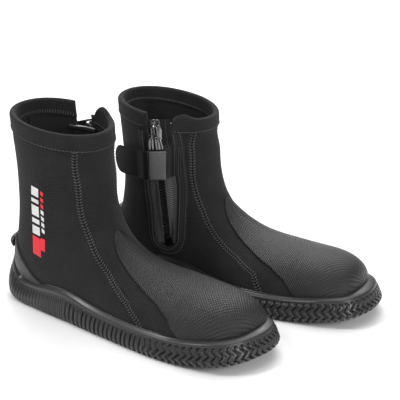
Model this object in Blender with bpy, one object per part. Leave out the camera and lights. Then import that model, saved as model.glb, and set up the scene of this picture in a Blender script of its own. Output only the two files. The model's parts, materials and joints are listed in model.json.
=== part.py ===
"""A pair of ankle-high neoprene boots with a moulded rubber sole, a side zip and a closing strap.

Each boot is drawn as the right boot in millimetres: x runs from the heel to the toes, the
instep side is +y and z is up. The left boot is its mirror image, turned and placed by an empty.
"""
import math

import bmesh
import bpy
import numpy as np
from mathutils import Matrix, Vector

MM = 0.001

# The pair: how the left boot stands beside the right one
LEFT_AHEAD = 22.0
LEFT_ASIDE = 142.0
LEFT_TURN = math.radians(8.0)
LEFT_TURN_AT_X = 140.0
LEFT_SHAFT_DROP = 10.0

# Cross-sections of the boot's outer skin, from the tip of the toes to the rim:
# front x and z, back x and z, outer and inner half width, height share of the widest place,
# roundness of the upper and the lower half, and y of the middle
SECTIONS = np.array([
    [282, 31, 282, 31, 0, 0, 0.50, 2.0, 2.0, 9],
    [280, 42, 279, 19, 18, 19, 0.46, 2.0, 2.2, 9],
    [272, 52, 270, 12, 31, 31, 0.42, 2.0, 2.6, 8],
    [252, 58, 249, 10, 41, 40, 0.38, 2.0, 3.0, 7],
    [225, 59, 221, 10, 45, 47, 0.34, 2.0, 3.4, 6],
    [194, 60, 185, 10, 44, 55, 0.31, 2.0, 3.6, 3],
    [162, 65, 145, 10, 40, 52, 0.30, 2.0, 3.4, 1],
    [133, 81, 100, 10, 37, 45, 0.33, 2.0, 3.0, 0],
    [118, 105, 52, 10, 36, 42, 0.40, 2.0, 2.6, 0],
    [114, 129, 6, 18, 38, 42, 0.45, 2.0, 2.3, 0],
    [112, 147, 2, 52, 40, 43, 0.50, 2.0, 2.2, 0],
    [108, 161, 9, 103, 42, 44, 0.50, 2.0, 2.1, 0],
    [109, 173, 7, 150, 43, 45, 0.50, 2.0, 2.1, 0],
    [108, 186, 3, 199, 45, 46, 0.50, 2.0, 2.1, 0],
], float)
RIM = float(len(SECTIONS) - 1)
SHAFT_START = 9.0

# Thicknesses and gaps
NEOPRENE = 4.5
GAP = 0.3
RUBBER = 1.7
OVERLAY_GAP = 1.4
COLLAR_PROUD = 0.8
COLLAR_INSIDE = 5.3
COLLAR_HEIGHT = 17.0
NOTCH_Z = 172.0
SOLE_LINE = 140.0

# Seams as pairs of section number and angle in degrees from the front of the shin
OUTER_SEAM = [(4.4, 140), (4.7, 105), (5.1, 84), (5.6, 66), (6.6, 47), (7.75, 41), (8.9, 40), (13, 38)]
INNER_SEAM = [(4.3, -140), (4.6, -104), (5.1, -66), (5.85, -54), (6.8, -47.5), (7.65, -41),
              (8.4, -39.5), (10, -38), (11.8, -33), (13, -32)]
VAMP_EDGE = [(2.9, 116), (3.5, 100), (3.75, 90), (3.95, 80), (4.15, 68), (4.7, 52), (5.6, 37),
             (6.8, 21), (7.2, 13), (7.5, 3)]
COUNTER_FRONT = [(24, 56), (33, 42), (51, 29), (60, 22), (68, 14)]

# The zip: the slider's place at the closed end, and the straight line that it runs down.
# The soft right shaft stands twisted, so that its zip leans further back.
ZIP_TOP_X = {"right": 48.0, "left": 70.0}
ZIP_TOP_Z = 165.0
ZIP_FOOT_X = 80.0
ZIP_FOOT_Z = 51.0
ZIP_TRAVEL = 96.0
ZIP_OPENING = 8.5
ZIP_CURVE_RADIUS = 60.0
SLIDER_HALF = 13.0
TAPE_EDGE = 14.0
PULLER_PIVOT_T = -6.0
PULLER_PIVOT_N = 6.4

# Places along the zip are measured down from the slider; heights are off the zip's own line
TAPE_TOP = -16.0
TEETH_TOP = -13.0
TEETH_INNER = 0.9
TEETH_OUTER = 3.7
TEETH_LOW = 0.6
TEETH_HIGH = 3.4
STOP_LENGTH = 3.5
SLIDER_PLATE = 5.6
SLIDER_FLANGE = 4.4
BRIDGE_TOP = -8.8
BRIDGE_FOOT = 3.0
BRIDGE_HIGH = 8.2
PULLER_LOOP = 3.4
PULLER_HALF = 4.6
PULLER_FOOT = 16.0
GUSSET_LOW = 63.0
GUSSET_HIGH = 168.0
GUSSET_HALF = 17.0
SURROUND_INNER = 15.0
SURROUND_OUTER = 19.0

# The strap across the zip, with its places measured forward from the zip's line
STRAP_WIDTH = 30.0
STRAP_Z = 130.0
STRAP_TILT = 0.14
STRAP_FRONT = 11.0
STRAP_LEAVES = -40.0
STRAP_TAB = 24.0
STRAP_THICK = 2.2
STRAP_ARCH = [(-40, 3.2), (-23, 3.4), (-18, 6.0), (-12, 10.3), (7, 10.3), (9.5, 6.8), (11, 3.0)]
PAD_FRONT = -25.0
ANCHOR_LENGTH = 7.0

# The moulded sole, as the points of its outline
OUTLINE = [(-15, 2), (-8, -22), (12, -37), (50, -42), (100, -45), (150, -48), (200, -50), (245, -47),
           (276, -38), (293, -20), (300, 6), (297, 28), (284, 47), (258, 58), (225, 64), (185, 68),
           (150, 64), (100, 54), (50, 47), (12, 40), (-8, 25)]
WALL_HEIGHT = 22.0
ARCH_WAVE = 8.0
TOE_BUMPER = 4.0
TOE_LIFT = 4.0
HEEL_RISE = 5.0
HEEL_KICK = 20.0
TOE_SPRING = 10.0
HEEL_BEVEL = 4.0
WALL_PROFILE = [(0.0, 6.0), (0.10, 2.5), (0.28, 0.0), (0.62, 0.6), (0.88, 3.2), (1.0, 5.0)]

COLOURS = {
    "neoprene": (0.030, 0.030, 0.032, 0.85),
    "rubber": (0.022, 0.022, 0.023, 0.55),
    "foam": (0.12, 0.12, 0.12, 0.8),
    "board": (0.25, 0.23, 0.20, 0.8),
    "webbing": (0.035, 0.035, 0.037, 0.8),
    "hook_loop": (0.020, 0.020, 0.020, 0.95),
    "zip_plastic": (0.012, 0.012, 0.012, 0.4),
    "slider_metal": (0.10, 0.10, 0.10, 0.3),
    "print": (0.80, 0.80, 0.80, 0.6),
}


# ---------------------------------------------------------------- the skin of the boot

def natural_spline(table):
    """Return a function that runs a smooth curve through the rows of the table."""
    count = len(table)
    system = np.eye(count)
    right = np.zeros_like(table)
    for row in range(1, count - 1):
        system[row, row - 1:row + 2] = (1, 4, 1)
        right[row] = 6 * (table[row - 1] - 2 * table[row] + table[row + 1])
    bend = np.linalg.solve(system, right)

    def curve(place):
        place = np.clip(np.asarray(place, float), 0, count - 1 - 1e-9)
        row = np.floor(place).astype(int)
        part = (place - row)[..., None]
        rest = 1 - part
        chord = table[row] * rest + table[row + 1] * part
        return chord + ((rest**3 - rest) * bend[row] + (part**3 - part) * bend[row + 1]) / 6
    return curve


def signed_power(value, power):
    return np.sign(value) * np.abs(value) ** power


def unit(vectors):
    length = np.linalg.norm(vectors, axis=-1, keepdims=True)
    return vectors / np.maximum(length, 1e-12)


class Skin:
    """The outer skin of one boot, addressed by an angle and a section number."""

    def __init__(self, drop):
        table = SECTIONS.copy()
        lower = np.clip((np.arange(len(table)) - SHAFT_START) / (RIM - SHAFT_START), 0, 1) * drop
        table[:, 1] -= lower
        table[:, 3] -= lower
        self.section = natural_spline(table)

    def point(self, angle, place):
        xf, zf, xb, zb, outer, inner, low, upper_n, lower_n, middle = np.moveaxis(
            self.section(place), -1, 0)
        cosine = np.cos(angle)
        sine = np.sin(angle)
        power = np.where(cosine > 0, 2 / upper_n, 2 / lower_n)
        along = signed_power(cosine, power)
        aside = signed_power(sine, power)
        share = low + np.where(cosine > 0, 1 - low, low) * along
        x = xb + (xf - xb) * share
        z = zb + (zf - zb) * share
        y = middle - aside * np.where(aside > 0, outer, inner)
        return np.stack([x, y, z], -1)

    def lifted(self, angle, place, lift):
        """Points that stand a distance off the skin, along its normal."""
        angle, place = np.broadcast_arrays(np.asarray(angle, float), np.asarray(place, float))
        step = 0.002
        inside = np.clip(place, 0.02, RIM - step)
        across = self.point(angle + step, inside) - self.point(angle - step, inside)
        down = self.point(angle, inside - 0.01) - self.point(angle, inside + 0.01)
        normal = unit(np.cross(across, down))
        tip = np.clip(1 - place / 0.5, 0, 1)[..., None]
        normal = unit(normal * (1 - tip) + np.array([1.0, 0.0, 0.1]) * tip)
        return self.point(angle, place) + normal * np.asarray(lift)[..., None]

    def level(self, angle, z):
        """Section number at which the skin passes a height, at each angle."""
        angle, z = np.broadcast_arrays(angle, z)
        low_end = np.full(angle.shape, 5.0)
        high_end = np.full(angle.shape, RIM)
        for _ in range(40):
            place = (low_end + high_end) / 2
            under = self.point(angle, place)[..., 2] < z
            low_end = np.where(under, place, low_end)
            high_end = np.where(under, high_end, place)
        return place

    def beside(self, x, z, inner_side=True):
        """Angle and section of the skin point that is seen at x, z from the side."""
        x, z = np.broadcast_arrays(np.asarray(x, float), np.asarray(z, float))
        low_end = np.full(x.shape, 5.0)
        high_end = np.full(x.shape, RIM)
        for _ in range(40):
            place = (low_end + high_end) / 2
            rows = self.section(place)
            share = (x - rows[..., 2]) / (rows[..., 0] - rows[..., 2])
            height = rows[..., 3] + (rows[..., 1] - rows[..., 3]) * share
            low_end = np.where(height < z, place, low_end)
            high_end = np.where(height < z, high_end, place)
        widest = rows[..., 6]
        along = np.clip((share - widest) / np.where(share > widest, 1 - widest, widest), -1, 1)
        power = np.where(along > 0, rows[..., 7], rows[..., 8]) / 2
        angle = np.arccos(signed_power(along, power))
        return (-angle if inner_side else angle), place


def seam(knots, place):
    places, angles = zip(*knots)
    return np.radians(np.interp(place, places, angles))


def band_edge(angle):
    """Section number of the collar band's lower edge, a constant height below the rim."""
    return RIM - COLLAR_HEIGHT / (31.0 - 18.0 * np.cos(angle))


def smooth_step(value):
    value = np.clip(value, 0, 1)
    return value * value * (3 - 2 * value)


# ---------------------------------------------------------------- mesh helpers

def material(name):
    if name in bpy.data.materials:
        return bpy.data.materials[name]
    red, green, blue, roughness = COLOURS[name]
    made = bpy.data.materials.new(name)
    made.use_nodes = True
    shader = made.node_tree.nodes["Principled BSDF"]
    shader.inputs["Base Color"].default_value = (red, green, blue, 1.0)
    shader.inputs["Roughness"].default_value = roughness
    shader.inputs["Metallic"].default_value = 0.8 if name == "slider_metal" else 0.0
    made.diffuse_color = (red, green, blue, 1.0)
    return made


class Boot:
    """One boot: its skin, its empty and what its pieces share."""

    def __init__(self, side):
        self.side = side
        self.mirror = -1.0 if side == "left" else 1.0
        self.skin = Skin(LEFT_SHAFT_DROP if side == "left" else 0.0)
        self.zip_lean = (ZIP_FOOT_X - ZIP_TOP_X[side]) / (ZIP_TOP_Z - ZIP_FOOT_Z)
        self.empty = bpy.data.objects.new(side + "_boot_frame", None)
        bpy.context.scene.collection.objects.link(self.empty)

    def zip_x(self, z):
        """The zip line's place seen from the side, at a height."""
        return ZIP_FOOT_X - (z - ZIP_FOOT_Z) * self.zip_lean

    def local(self, point):
        x, y, z = point
        return Vector((x * MM, y * MM * self.mirror, z * MM))

    def add(self, name, verts, faces, slot, pivot=(0.0, 0.0, 0.0)):
        """Make an object from points in the right boot's millimetres."""
        origin = self.local(pivot)
        mesh = bpy.data.meshes.new(self.side + "_" + name)
        mesh.from_pydata([self.local(vert) - origin for vert in verts], [], faces)
        finish = bmesh.new()
        finish.from_mesh(mesh)
        bmesh.ops.remove_doubles(finish, verts=finish.verts, dist=2e-6)
        bmesh.ops.recalc_face_normals(finish, faces=finish.faces)
        finish.to_mesh(mesh)
        finish.free()
        mesh.materials.append(material(slot))
        mesh.shade_smooth()
        mesh.set_sharp_from_angle(angle=math.radians(40))
        made = bpy.data.objects.new(self.side + "_" + name, mesh)
        made.location = origin
        made.parent = self.empty
        bpy.context.scene.collection.objects.link(made)
        return made


def sheet_faces(rows, cols):
    """Faces of a thick sheet whose outer grid is followed by its inner grid."""
    def at(layer, row, col):
        return layer * rows * cols + row * cols + col
    faces = []
    for row in range(rows - 1):
        for col in range(cols - 1):
            faces.append([at(0, row, col), at(0, row, col + 1),
                          at(0, row + 1, col + 1), at(0, row + 1, col)])
            faces.append([at(1, row, col), at(1, row + 1, col),
                          at(1, row + 1, col + 1), at(1, row, col + 1)])
    for row in range(rows - 1):
        for col in (0, cols - 1):
            faces.append([at(0, row, col), at(0, row + 1, col), at(1, row + 1, col), at(1, row, col)])
    for col in range(cols - 1):
        for row in (0, rows - 1):
            faces.append([at(0, row, col), at(0, row, col + 1), at(1, row, col + 1), at(1, row, col)])
    return faces


def thick_sheet(boot, name, outer, inner, slot, pivot=(0.0, 0.0, 0.0)):
    rows, cols = outer.shape[:2]
    verts = np.concatenate([outer.reshape(-1, 3), inner.reshape(-1, 3)])
    return boot.add(name, verts, sheet_faces(rows, cols), slot, pivot)


def panel(boot, name, start, end, places, top, cols, lifts, slot):
    """A panel of the skin between two edge functions, with rows at the listed section numbers.

    The last row follows the function top, which gives a section number for each angle.
    """
    across = np.linspace(0, 1, cols)[None, :]
    place = np.array(places, float)[:, None] * np.ones((1, cols))
    for _ in range(12):
        angle = start(place) + (end(place) - start(place)) * across
        place[-1] = top(angle[-1])
    return angle_sheet(boot, name, angle, place, lifts, slot)


def angle_sheet(boot, name, angle, place, lifts, slot):
    outer = boot.skin.lifted(angle, place, np.full(angle.shape, lifts[0]))
    inner = boot.skin.lifted(angle, place, np.full(angle.shape, lifts[1]))
    return thick_sheet(boot, name, outer, inner, slot)


def side_sheet(boot, name, x, z, lifts, slot, inner_side=True):
    """A thin piece laid on the skin, given by a grid of side-view places."""
    angle, place = boot.skin.beside(x, z, inner_side)
    return angle_sheet(boot, name, angle, place, lifts, slot)


def fixed(value):
    return lambda _: value


def nudge(knots, degrees):
    """An edge function that follows a seam at a small distance."""
    return lambda place: seam(knots, place) + math.radians(degrees)


# ---------------------------------------------------------------- the neoprene upper

SEAM_NUDGE = 0.35


def heel_edge(sign):
    """The edge of a quarter: the sole line under the foot, then the seam up the heel."""
    def edge(place):
        turn = smooth_step((place - 8.9) / 0.4)
        return sign * np.radians(SOLE_LINE - SEAM_NUDGE + (180 - SOLE_LINE) * turn)
    return edge


def panel_top(angle):
    return band_edge(angle) - 0.02


def zip_edge(boot, side):
    """The edge of an inner quarter along the zip, and along the short seam below it."""
    heights = np.linspace(39.0, 192.0, 40)
    half = ZIP_OPENING * smooth_step((heights - 39.0) / 5.0) + 0.3
    angles, places = boot.skin.beside(boot.zip_x(heights) + side * half, heights)
    places = np.concatenate([[places[0] - 0.5], places])
    angles = np.concatenate([[math.radians(-SOLE_LINE + 1 + side * 0.4)], angles])
    return lambda place: np.interp(place, places, angles)


SHAFT_PLACES = [4.6, 4.8, 5.1, 5.45, 5.9, 6.6, 7.2, 7.7, 7.95, 8.2, 8.5, 8.9, 9.4, 10.0, 10.7, 11.3,
                12.0]
TOE_PLACES = [0.0, 0.35, 0.8, 1.4, 2.1, 2.9, 3.5, 3.75, 3.95, 4.15, 4.35]
SOLE_PLACES = [0.8, 1.5, 2.2, 3.0, 4.0, 5.0, 6.0, 7.0, 8.0, 8.65]
SOLE_ANGLES = [SOLE_LINE + 1.2, 150, 162, 180, 198, 210, 358.8 - SOLE_LINE]


def make_upper(boot):
    outer_edge = heel_edge(1)
    inner_edge = heel_edge(-1)
    zip_rear = zip_edge(boot, -1)
    zip_front = zip_edge(boot, 1)
    lifts = (0.0, -NEOPRENE)
    panel(boot, "front_panel", nudge(INNER_SEAM, SEAM_NUDGE), nudge(OUTER_SEAM, -SEAM_NUDGE),
          TOE_PLACES + SHAFT_PLACES, panel_top, 13, lifts, "neoprene")
    panel(boot, "outer_quarter", nudge(OUTER_SEAM, SEAM_NUDGE), outer_edge,
          SHAFT_PLACES, panel_top, 9, lifts, "neoprene")
    panel(boot, "inner_rear_quarter", inner_edge, zip_rear,
          SHAFT_PLACES[7:], panel_top, 7, lifts, "neoprene")
    panel(boot, "inner_front_quarter", zip_front, nudge(INNER_SEAM, -SEAM_NUDGE),
          SHAFT_PLACES, panel_top, 6, lifts, "neoprene")


def make_collar(boot):
    middle = boot.zip_x(NOTCH_Z)

    def front_edge(place):
        rise = smooth_step(place - 12.0)
        return boot.skin.beside(middle + 9.6 + 7.0 * rise, NOTCH_Z + 0 * place)[0]

    def rear_edge(place):
        rise = smooth_step(place - 12.0)
        return boot.skin.beside(middle - 8.9 - 2.0 * rise, NOTCH_Z + 0 * place)[0] + 2 * math.pi

    cols = 37
    across = np.linspace(0, 1, cols)[None, :]
    upward = np.linspace(0, 1, 4)[:, None]
    place = RIM - (1 - upward) * np.ones((1, cols))
    for _ in range(12):
        angle = front_edge(place) + (rear_edge(place) - front_edge(place)) * across
        low = band_edge(angle) + 0.02
        place = low + (RIM - 0.001 - low) * upward
    angle_sheet(boot, "collar_band", angle, place, (COLLAR_PROUD, -COLLAR_INSIDE), "neoprene")


def make_heel_counter(boot):
    """A rubber cup round the heel, with a ledge that holds a fin strap."""
    heights, fronts = zip(*COUNTER_FRONT)
    across = np.linspace(0, 1, 13)[None, :]

    def cup(name, z_rows, trim, lifts):
        z = np.array(z_rows, float)[:, None]
        edge = boot.skin.beside(np.interp(z, heights, fronts), z, False)[0]
        edge = edge + (math.pi - edge) * trim
        angle = edge + (2 * math.pi - 2 * edge) * across
        angle_sheet(boot, name, angle, boot.skin.level(angle, z), lifts, "rubber")

    top = OVERLAY_GAP + RUBBER
    cup("heel_counter", [29, 35, 43, 51, 60, 67], 0.0, (top, OVERLAY_GAP))
    cup("heel_ledge", [57, 63], 0.3, (8.5, top + 0.5))


def make_vamp(boot):
    panel(boot, "toe_vamp", lambda place: -seam(VAMP_EDGE, place), lambda place: seam(VAMP_EDGE, place),
          TOE_PLACES + SHAFT_PLACES[:7] + [7.45], fixed(7.45), 15,
          (OVERLAY_GAP + RUBBER, OVERLAY_GAP), "rubber")


# ---------------------------------------------------------------- the sole

def closed_outline(count):
    """Evenly numbered points on a smooth closed curve through the outline's points."""
    base = np.array(OUTLINE, float)
    total = len(base)
    place = np.arange(count) * total / count
    row = np.floor(place).astype(int)
    part = (place - row)[:, None]
    before, here, after, beyond = (base[(row + shift) % total] for shift in (-1, 0, 1, 2))
    return 0.5 * (2 * here + (after - before) * part
                  + (2 * before - 5 * here + 4 * after - beyond) * part**2
                  + (3 * here - before - 3 * after + beyond) * part**3)


def ground(x):
    """How far the bottom of the sole rises at the toes and at the back of the heel."""
    toe = np.clip((x - 200) / 95, 0, None) ** 2 * TOE_SPRING
    heel = np.clip((20 - x) / 35, 0, None) ** 2 * HEEL_BEVEL
    return toe + heel


def wall_top(x):
    """Height of the moulded wall, with its wave beside the arch, toe bumper and heel kick."""
    wave = ARCH_WAVE * np.exp(-((x - 85) / 38) ** 2)
    bumper = TOE_BUMPER * smooth_step((x - 215) / 60)
    heel = HEEL_RISE * smooth_step((25 - x) / 30)
    kick = HEEL_KICK * smooth_step((14 - x) / 24)
    return WALL_HEIGHT + wave + bumper + heel + kick + np.clip((x - 200) / 95, 0, None) ** 2 * TOE_LIFT


def foot_hollow(boot):
    """The space that the upper takes in the sole, as a closed cutter."""
    rows = 22
    cols = 36
    angle = np.linspace(0, 2 * math.pi, cols, endpoint=False)[None, :] * np.ones((rows, 1))
    place = np.linspace(0.0, 10.6, rows)[:, None] * np.ones((1, cols))
    x = boot.skin.point(angle, place)[..., 0]
    toe = smooth_step((x - 195) / 25)
    heel = smooth_step((70 - x) / 15)
    under = smooth_step((np.abs(angle - math.pi) * -1 + math.radians(55)) / math.radians(12))
    lift = 0.9 + np.maximum(2.9 * toe, 4.5 * heel)
    lift = np.maximum(lift, 0.9 + 3.3 * under)
    grid = boot.skin.lifted(angle, place, lift)
    faces = []
    for row in range(rows - 1):
        for col in range(cols):
            after = (col + 1) % cols
            faces.append([row * cols + col, row * cols + after,
                          (row + 1) * cols + after, (row + 1) * cols + col])
    faces.append([(rows - 1) * cols + col for col in range(cols)])
    cutter = boot.add("foot_hollow_cutter", grid.reshape(-1, 3), faces, "rubber")
    cutter.hide_render = True
    cutter.display_type = "WIRE"
    return cutter


def make_outsole(boot):
    count = 52
    rim = closed_outline(count)
    tangent = np.roll(rim, -1, 0) - np.roll(rim, 1, 0)
    inward = unit(np.stack([-tangent[:, 1], tangent[:, 0]], -1))
    levels = []
    for share, inset in WALL_PROFILE:
        line = rim + inward * inset
        low = ground(line[:, 0])
        height = low + (wall_top(line[:, 0]) - low) * share
        levels.append(np.column_stack([line, height]))
    verts = np.concatenate(levels)
    faces = []
    for level in range(len(levels) - 1):
        for col in range(count):
            after = (col + 1) % count
            faces.append([level * count + col, level * count + after,
                          (level + 1) * count + after, (level + 1) * count + col])
    rungs = count // 2
    for start in (0, (len(levels) - 1) * count):
        for col in range(rungs):
            across = [start + (count - col - 1) % count, start + (count - col) % count]
            corners = [start + col, start + col + 1] + across
            faces.append(list(dict.fromkeys(corners)))
    sole = boot.add("outsole", verts, faces, "rubber")
    cut = sole.modifiers.new("foot_hollow", "BOOLEAN")
    cut.operation = "DIFFERENCE"
    cut.solver = "EXACT"
    cut.object = foot_hollow(boot)


def make_footbed(boot):
    """The layers under the foot, which share their grid and lie on each other."""
    angles = np.radians(SOLE_ANGLES)

    def layer(name, angles, places, lifts, slot):
        place, angle = np.meshgrid(np.array(places, float), angles, indexing="ij")
        angle_sheet(boot, name, angle, place, lifts, slot)

    layer("sole_panel", angles, SOLE_PLACES, (0.0, -NEOPRENE), "neoprene")
    layer("midsole", angles[1:-1], SOLE_PLACES[1:-1], (3.3, GAP), "foam")
    layer("lasting_board", angles[1:-1], SOLE_PLACES[1:-1], (-NEOPRENE - GAP, -NEOPRENE - 1.8), "board")
    layer("insole", angles[1:-1], SOLE_PLACES[1:-1], (-NEOPRENE - 2.1, -NEOPRENE - 5.0), "foam")


# ---------------------------------------------------------------- the zip

class ZipFrame:
    """A straight frame along the zip: t runs down it, a across it to the front, n outward."""

    def __init__(self, boot):
        heights = np.array([ZIP_TOP_Z - ZIP_TRAVEL, ZIP_TOP_Z])
        angle, place = boot.skin.beside(boot.zip_x(heights), heights)
        low, high = boot.skin.point(angle, place)
        self.origin = high
        self.down = unit(low - high)
        face = boot.skin.lifted(angle, place, np.ones(2)) - boot.skin.point(angle, place)
        face = unit(face.mean(0))
        self.out = unit(face - self.down * (face @ self.down))
        self.across = np.cross(self.down, self.out)
        if self.across[0] < 0:
            self.across = -self.across

    def at(self, t, a, n, curved=True):
        t, a, n = (np.asarray(value, float) for value in (t, a, n))
        fall = a**2 / (2 * ZIP_CURVE_RADIUS) if curved else 0.0
        return (self.origin + t[..., None] * self.down + a[..., None] * self.across
                + (n - fall)[..., None] * self.out)


BLOCK_FACES = [[0, 1, 3, 2], [4, 6, 7, 5], [0, 4, 5, 1], [2, 3, 7, 6], [0, 2, 6, 4], [1, 5, 7, 3]]


def block(frame, t, a, n, curved=False):
    corners = np.array([(tt, aa, nn) for tt in t for aa in a for nn in n])
    return frame.at(corners[:, 0], corners[:, 1], corners[:, 2], curved), BLOCK_FACES


def joined_blocks(boot, name, frame, boxes, slot, pivot=(0.0, 0.0, 0.0)):
    """Blocks that touch, united into one solid with Boolean unions."""
    first, *others = boxes
    verts, faces = block(frame, *first)
    base = boot.add(name, verts, faces, slot, pivot)
    for number, box in enumerate(others):
        verts, faces = block(frame, *box)
        tool = boot.add(name + "_cutter_%d" % number, verts, faces, slot, pivot)
        tool.hide_render = True
        tool.display_type = "WIRE"
        join = base.modifiers.new("join_%d" % number, "BOOLEAN")
        join.operation = "UNION"
        join.solver = "EXACT"
        join.object = tool
    return base


def make_zip(boot, frame):
    foot = SLIDER_HALF + ZIP_TRAVEL
    ends = (TAPE_TOP, foot + 4.5)
    teeth_ends = (TEETH_TOP, foot + 0.3)
    stop_sides = (-TEETH_OUTER, TEETH_OUTER)
    stop_heights = (TEETH_LOW - 0.1, TEETH_HIGH + 0.1)
    for side, word in ((1, "front"), (-1, "rear")):
        t = np.linspace(*ends, 9)[:, None] * np.ones((1, 5))
        a = side * np.array([4.0, 5.9, 7.4, 10.6, TAPE_EDGE])[None, :] * np.ones((9, 1))
        flat = frame.at(t, a, 0 * a)
        angle, place = boot.skin.beside(flat[..., 0], flat[..., 2])
        straight = (np.abs(a) < 7)[..., None]
        layers = []
        for n, lift in ((2.4, 2.7), (1.6, 1.9)):
            laid = boot.skin.lifted(angle, place, lift + 0 * a)
            layers.append(np.where(straight, frame.at(t, a, n + 0 * a), laid))
        thick_sheet(boot, "zip_tape_" + word, *layers, "webbing")
        teeth_sides = (side * TEETH_INNER, side * TEETH_OUTER)
        verts, faces = block(frame, teeth_ends, teeth_sides, (TEETH_LOW, TEETH_HIGH))
        boot.add("zip_teeth_" + word, verts, faces, "zip_plastic")
    verts, faces = block(frame, (TAPE_TOP + 0.2, TEETH_TOP - 0.4), stop_sides, stop_heights)
    boot.add("zip_top_stop", verts, faces, "zip_plastic")
    bottom = foot + 0.7
    verts, faces = block(frame, (bottom, bottom + STOP_LENGTH), stop_sides, stop_heights)
    boot.add("zip_bottom_stop", verts, faces, "zip_plastic")


def make_slider(boot, frame):
    half = SLIDER_HALF
    plate = SLIDER_PLATE
    flange = SLIDER_FLANGE
    front = (flange, plate - 0.01)
    rear = (-plate + 0.01, -flange)
    inside = (-half + 1, half - 1)
    boxes = [
        ((-half, half), (-plate, plate), (3.8, 5.4)),
        (inside, (-plate, plate), (-1.4, 0.2)),
        ((-half + 1.5, -half + 5), (-0.6, 0.6), (0.1, 3.9)),
        (inside, front, (2.8, 3.9)),
        (inside, rear, (2.8, 3.9)),
        (inside, front, (0.1, 1.2)),
        (inside, rear, (0.1, 1.2)),
        ((BRIDGE_TOP, BRIDGE_TOP + 1.4), (-1.0, 1.0), (5.3, BRIDGE_HIGH)),
        ((BRIDGE_FOOT - 1.4, BRIDGE_FOOT), (-1.0, 1.0), (5.3, BRIDGE_HIGH)),
        ((BRIDGE_TOP + 0.1, BRIDGE_FOOT - 0.1), (-0.99, 0.99), (BRIDGE_HIGH - 1, BRIDGE_HIGH - 0.01)),
    ]
    joined_blocks(boot, "zip_slider", frame, boxes, "slider_metal", frame.origin)
    pivot = frame.at(PULLER_PIVOT_T, 0.0, PULLER_PIVOT_N, False)
    t = PULLER_PIVOT_T
    n = PULLER_PIVOT_N
    loop = PULLER_LOOP
    boxes = [
        ((t - 0.6, t + 0.6), (-loop, loop), (n - 0.6, n + 0.6)),
        ((t - 0.59, 5.5), (loop - 1.4, loop - 0.01), (n - 0.59, n + 0.59)),
        ((t - 0.59, 5.5), (0.01 - loop, 1.4 - loop), (n - 0.59, n + 0.59)),
        ((5.0, PULLER_FOOT), (-PULLER_HALF, PULLER_HALF), (n - 0.6, n + 1.2)),
    ]
    joined_blocks(boot, "zip_puller", frame, boxes, "slider_metal", pivot)


def make_gusset(boot):
    rows = 12
    cols = 6
    z = np.linspace(GUSSET_LOW, GUSSET_HIGH, rows)[:, None] * np.ones((1, cols))
    x = boot.zip_x(z) + np.linspace(-GUSSET_HALF, GUSSET_HALF, cols)[None, :]
    side_sheet(boot, "zip_gusset", x, z, (-COLLAR_INSIDE - 0.5, -COLLAR_INSIDE - 2.5), "neoprene")
    z = np.linspace(GUSSET_HIGH + 0.6, GUSSET_HIGH + 4.0, 2)[:, None] * np.ones((1, cols))
    x = boot.zip_x(z) + np.linspace(-GUSSET_HALF, GUSSET_HALF, cols)[None, :]
    side_sheet(boot, "gusset_binding", x, z, (-COLLAR_INSIDE - 0.5, -COLLAR_INSIDE - 3.1), "webbing")


def make_zip_surround(boot):
    """The stitched trim that runs down one side of the zip, round its foot and up again."""
    straight = 9
    round_steps = 9
    x_lines = []
    z_lines = []
    for reach in (SURROUND_INNER, SURROUND_OUTER):
        heights = np.linspace(160.0, ZIP_FOOT_Z, straight)
        turn = np.linspace(0, math.pi, round_steps + 2)[1:-1]
        bottom_x = ZIP_FOOT_X - reach * np.cos(turn)
        bottom_z = ZIP_FOOT_Z - reach * 0.95 * np.sin(turn)
        x_lines.append(np.concatenate([boot.zip_x(heights) - reach, bottom_x,
                                       boot.zip_x(heights[::-1]) + reach]))
        z_lines.append(np.concatenate([heights, bottom_z, heights[::-1]]))
    side_sheet(boot, "zip_surround", np.array(x_lines), np.array(z_lines), (1.5, 0.7), "neoprene")


# ---------------------------------------------------------------- the strap

def strap_lift(offset):
    offsets, lifts = zip(*STRAP_ARCH)
    return np.interp(offset, offsets, lifts)


def strap_grid(boot, offset, half, lift):
    """Points of a strip of the strap along offsets from the zip, rows across its width."""
    rows = np.linspace(-1, 1, 5)[:, None]
    offset = offset[None, :] * np.ones((5, 1))
    z = STRAP_Z + offset * STRAP_TILT + rows * half
    angle, place = boot.skin.beside(boot.zip_x(STRAP_Z) + offset, z)
    return boot.skin.lifted(angle, place, lift + 0 * offset)


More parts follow.
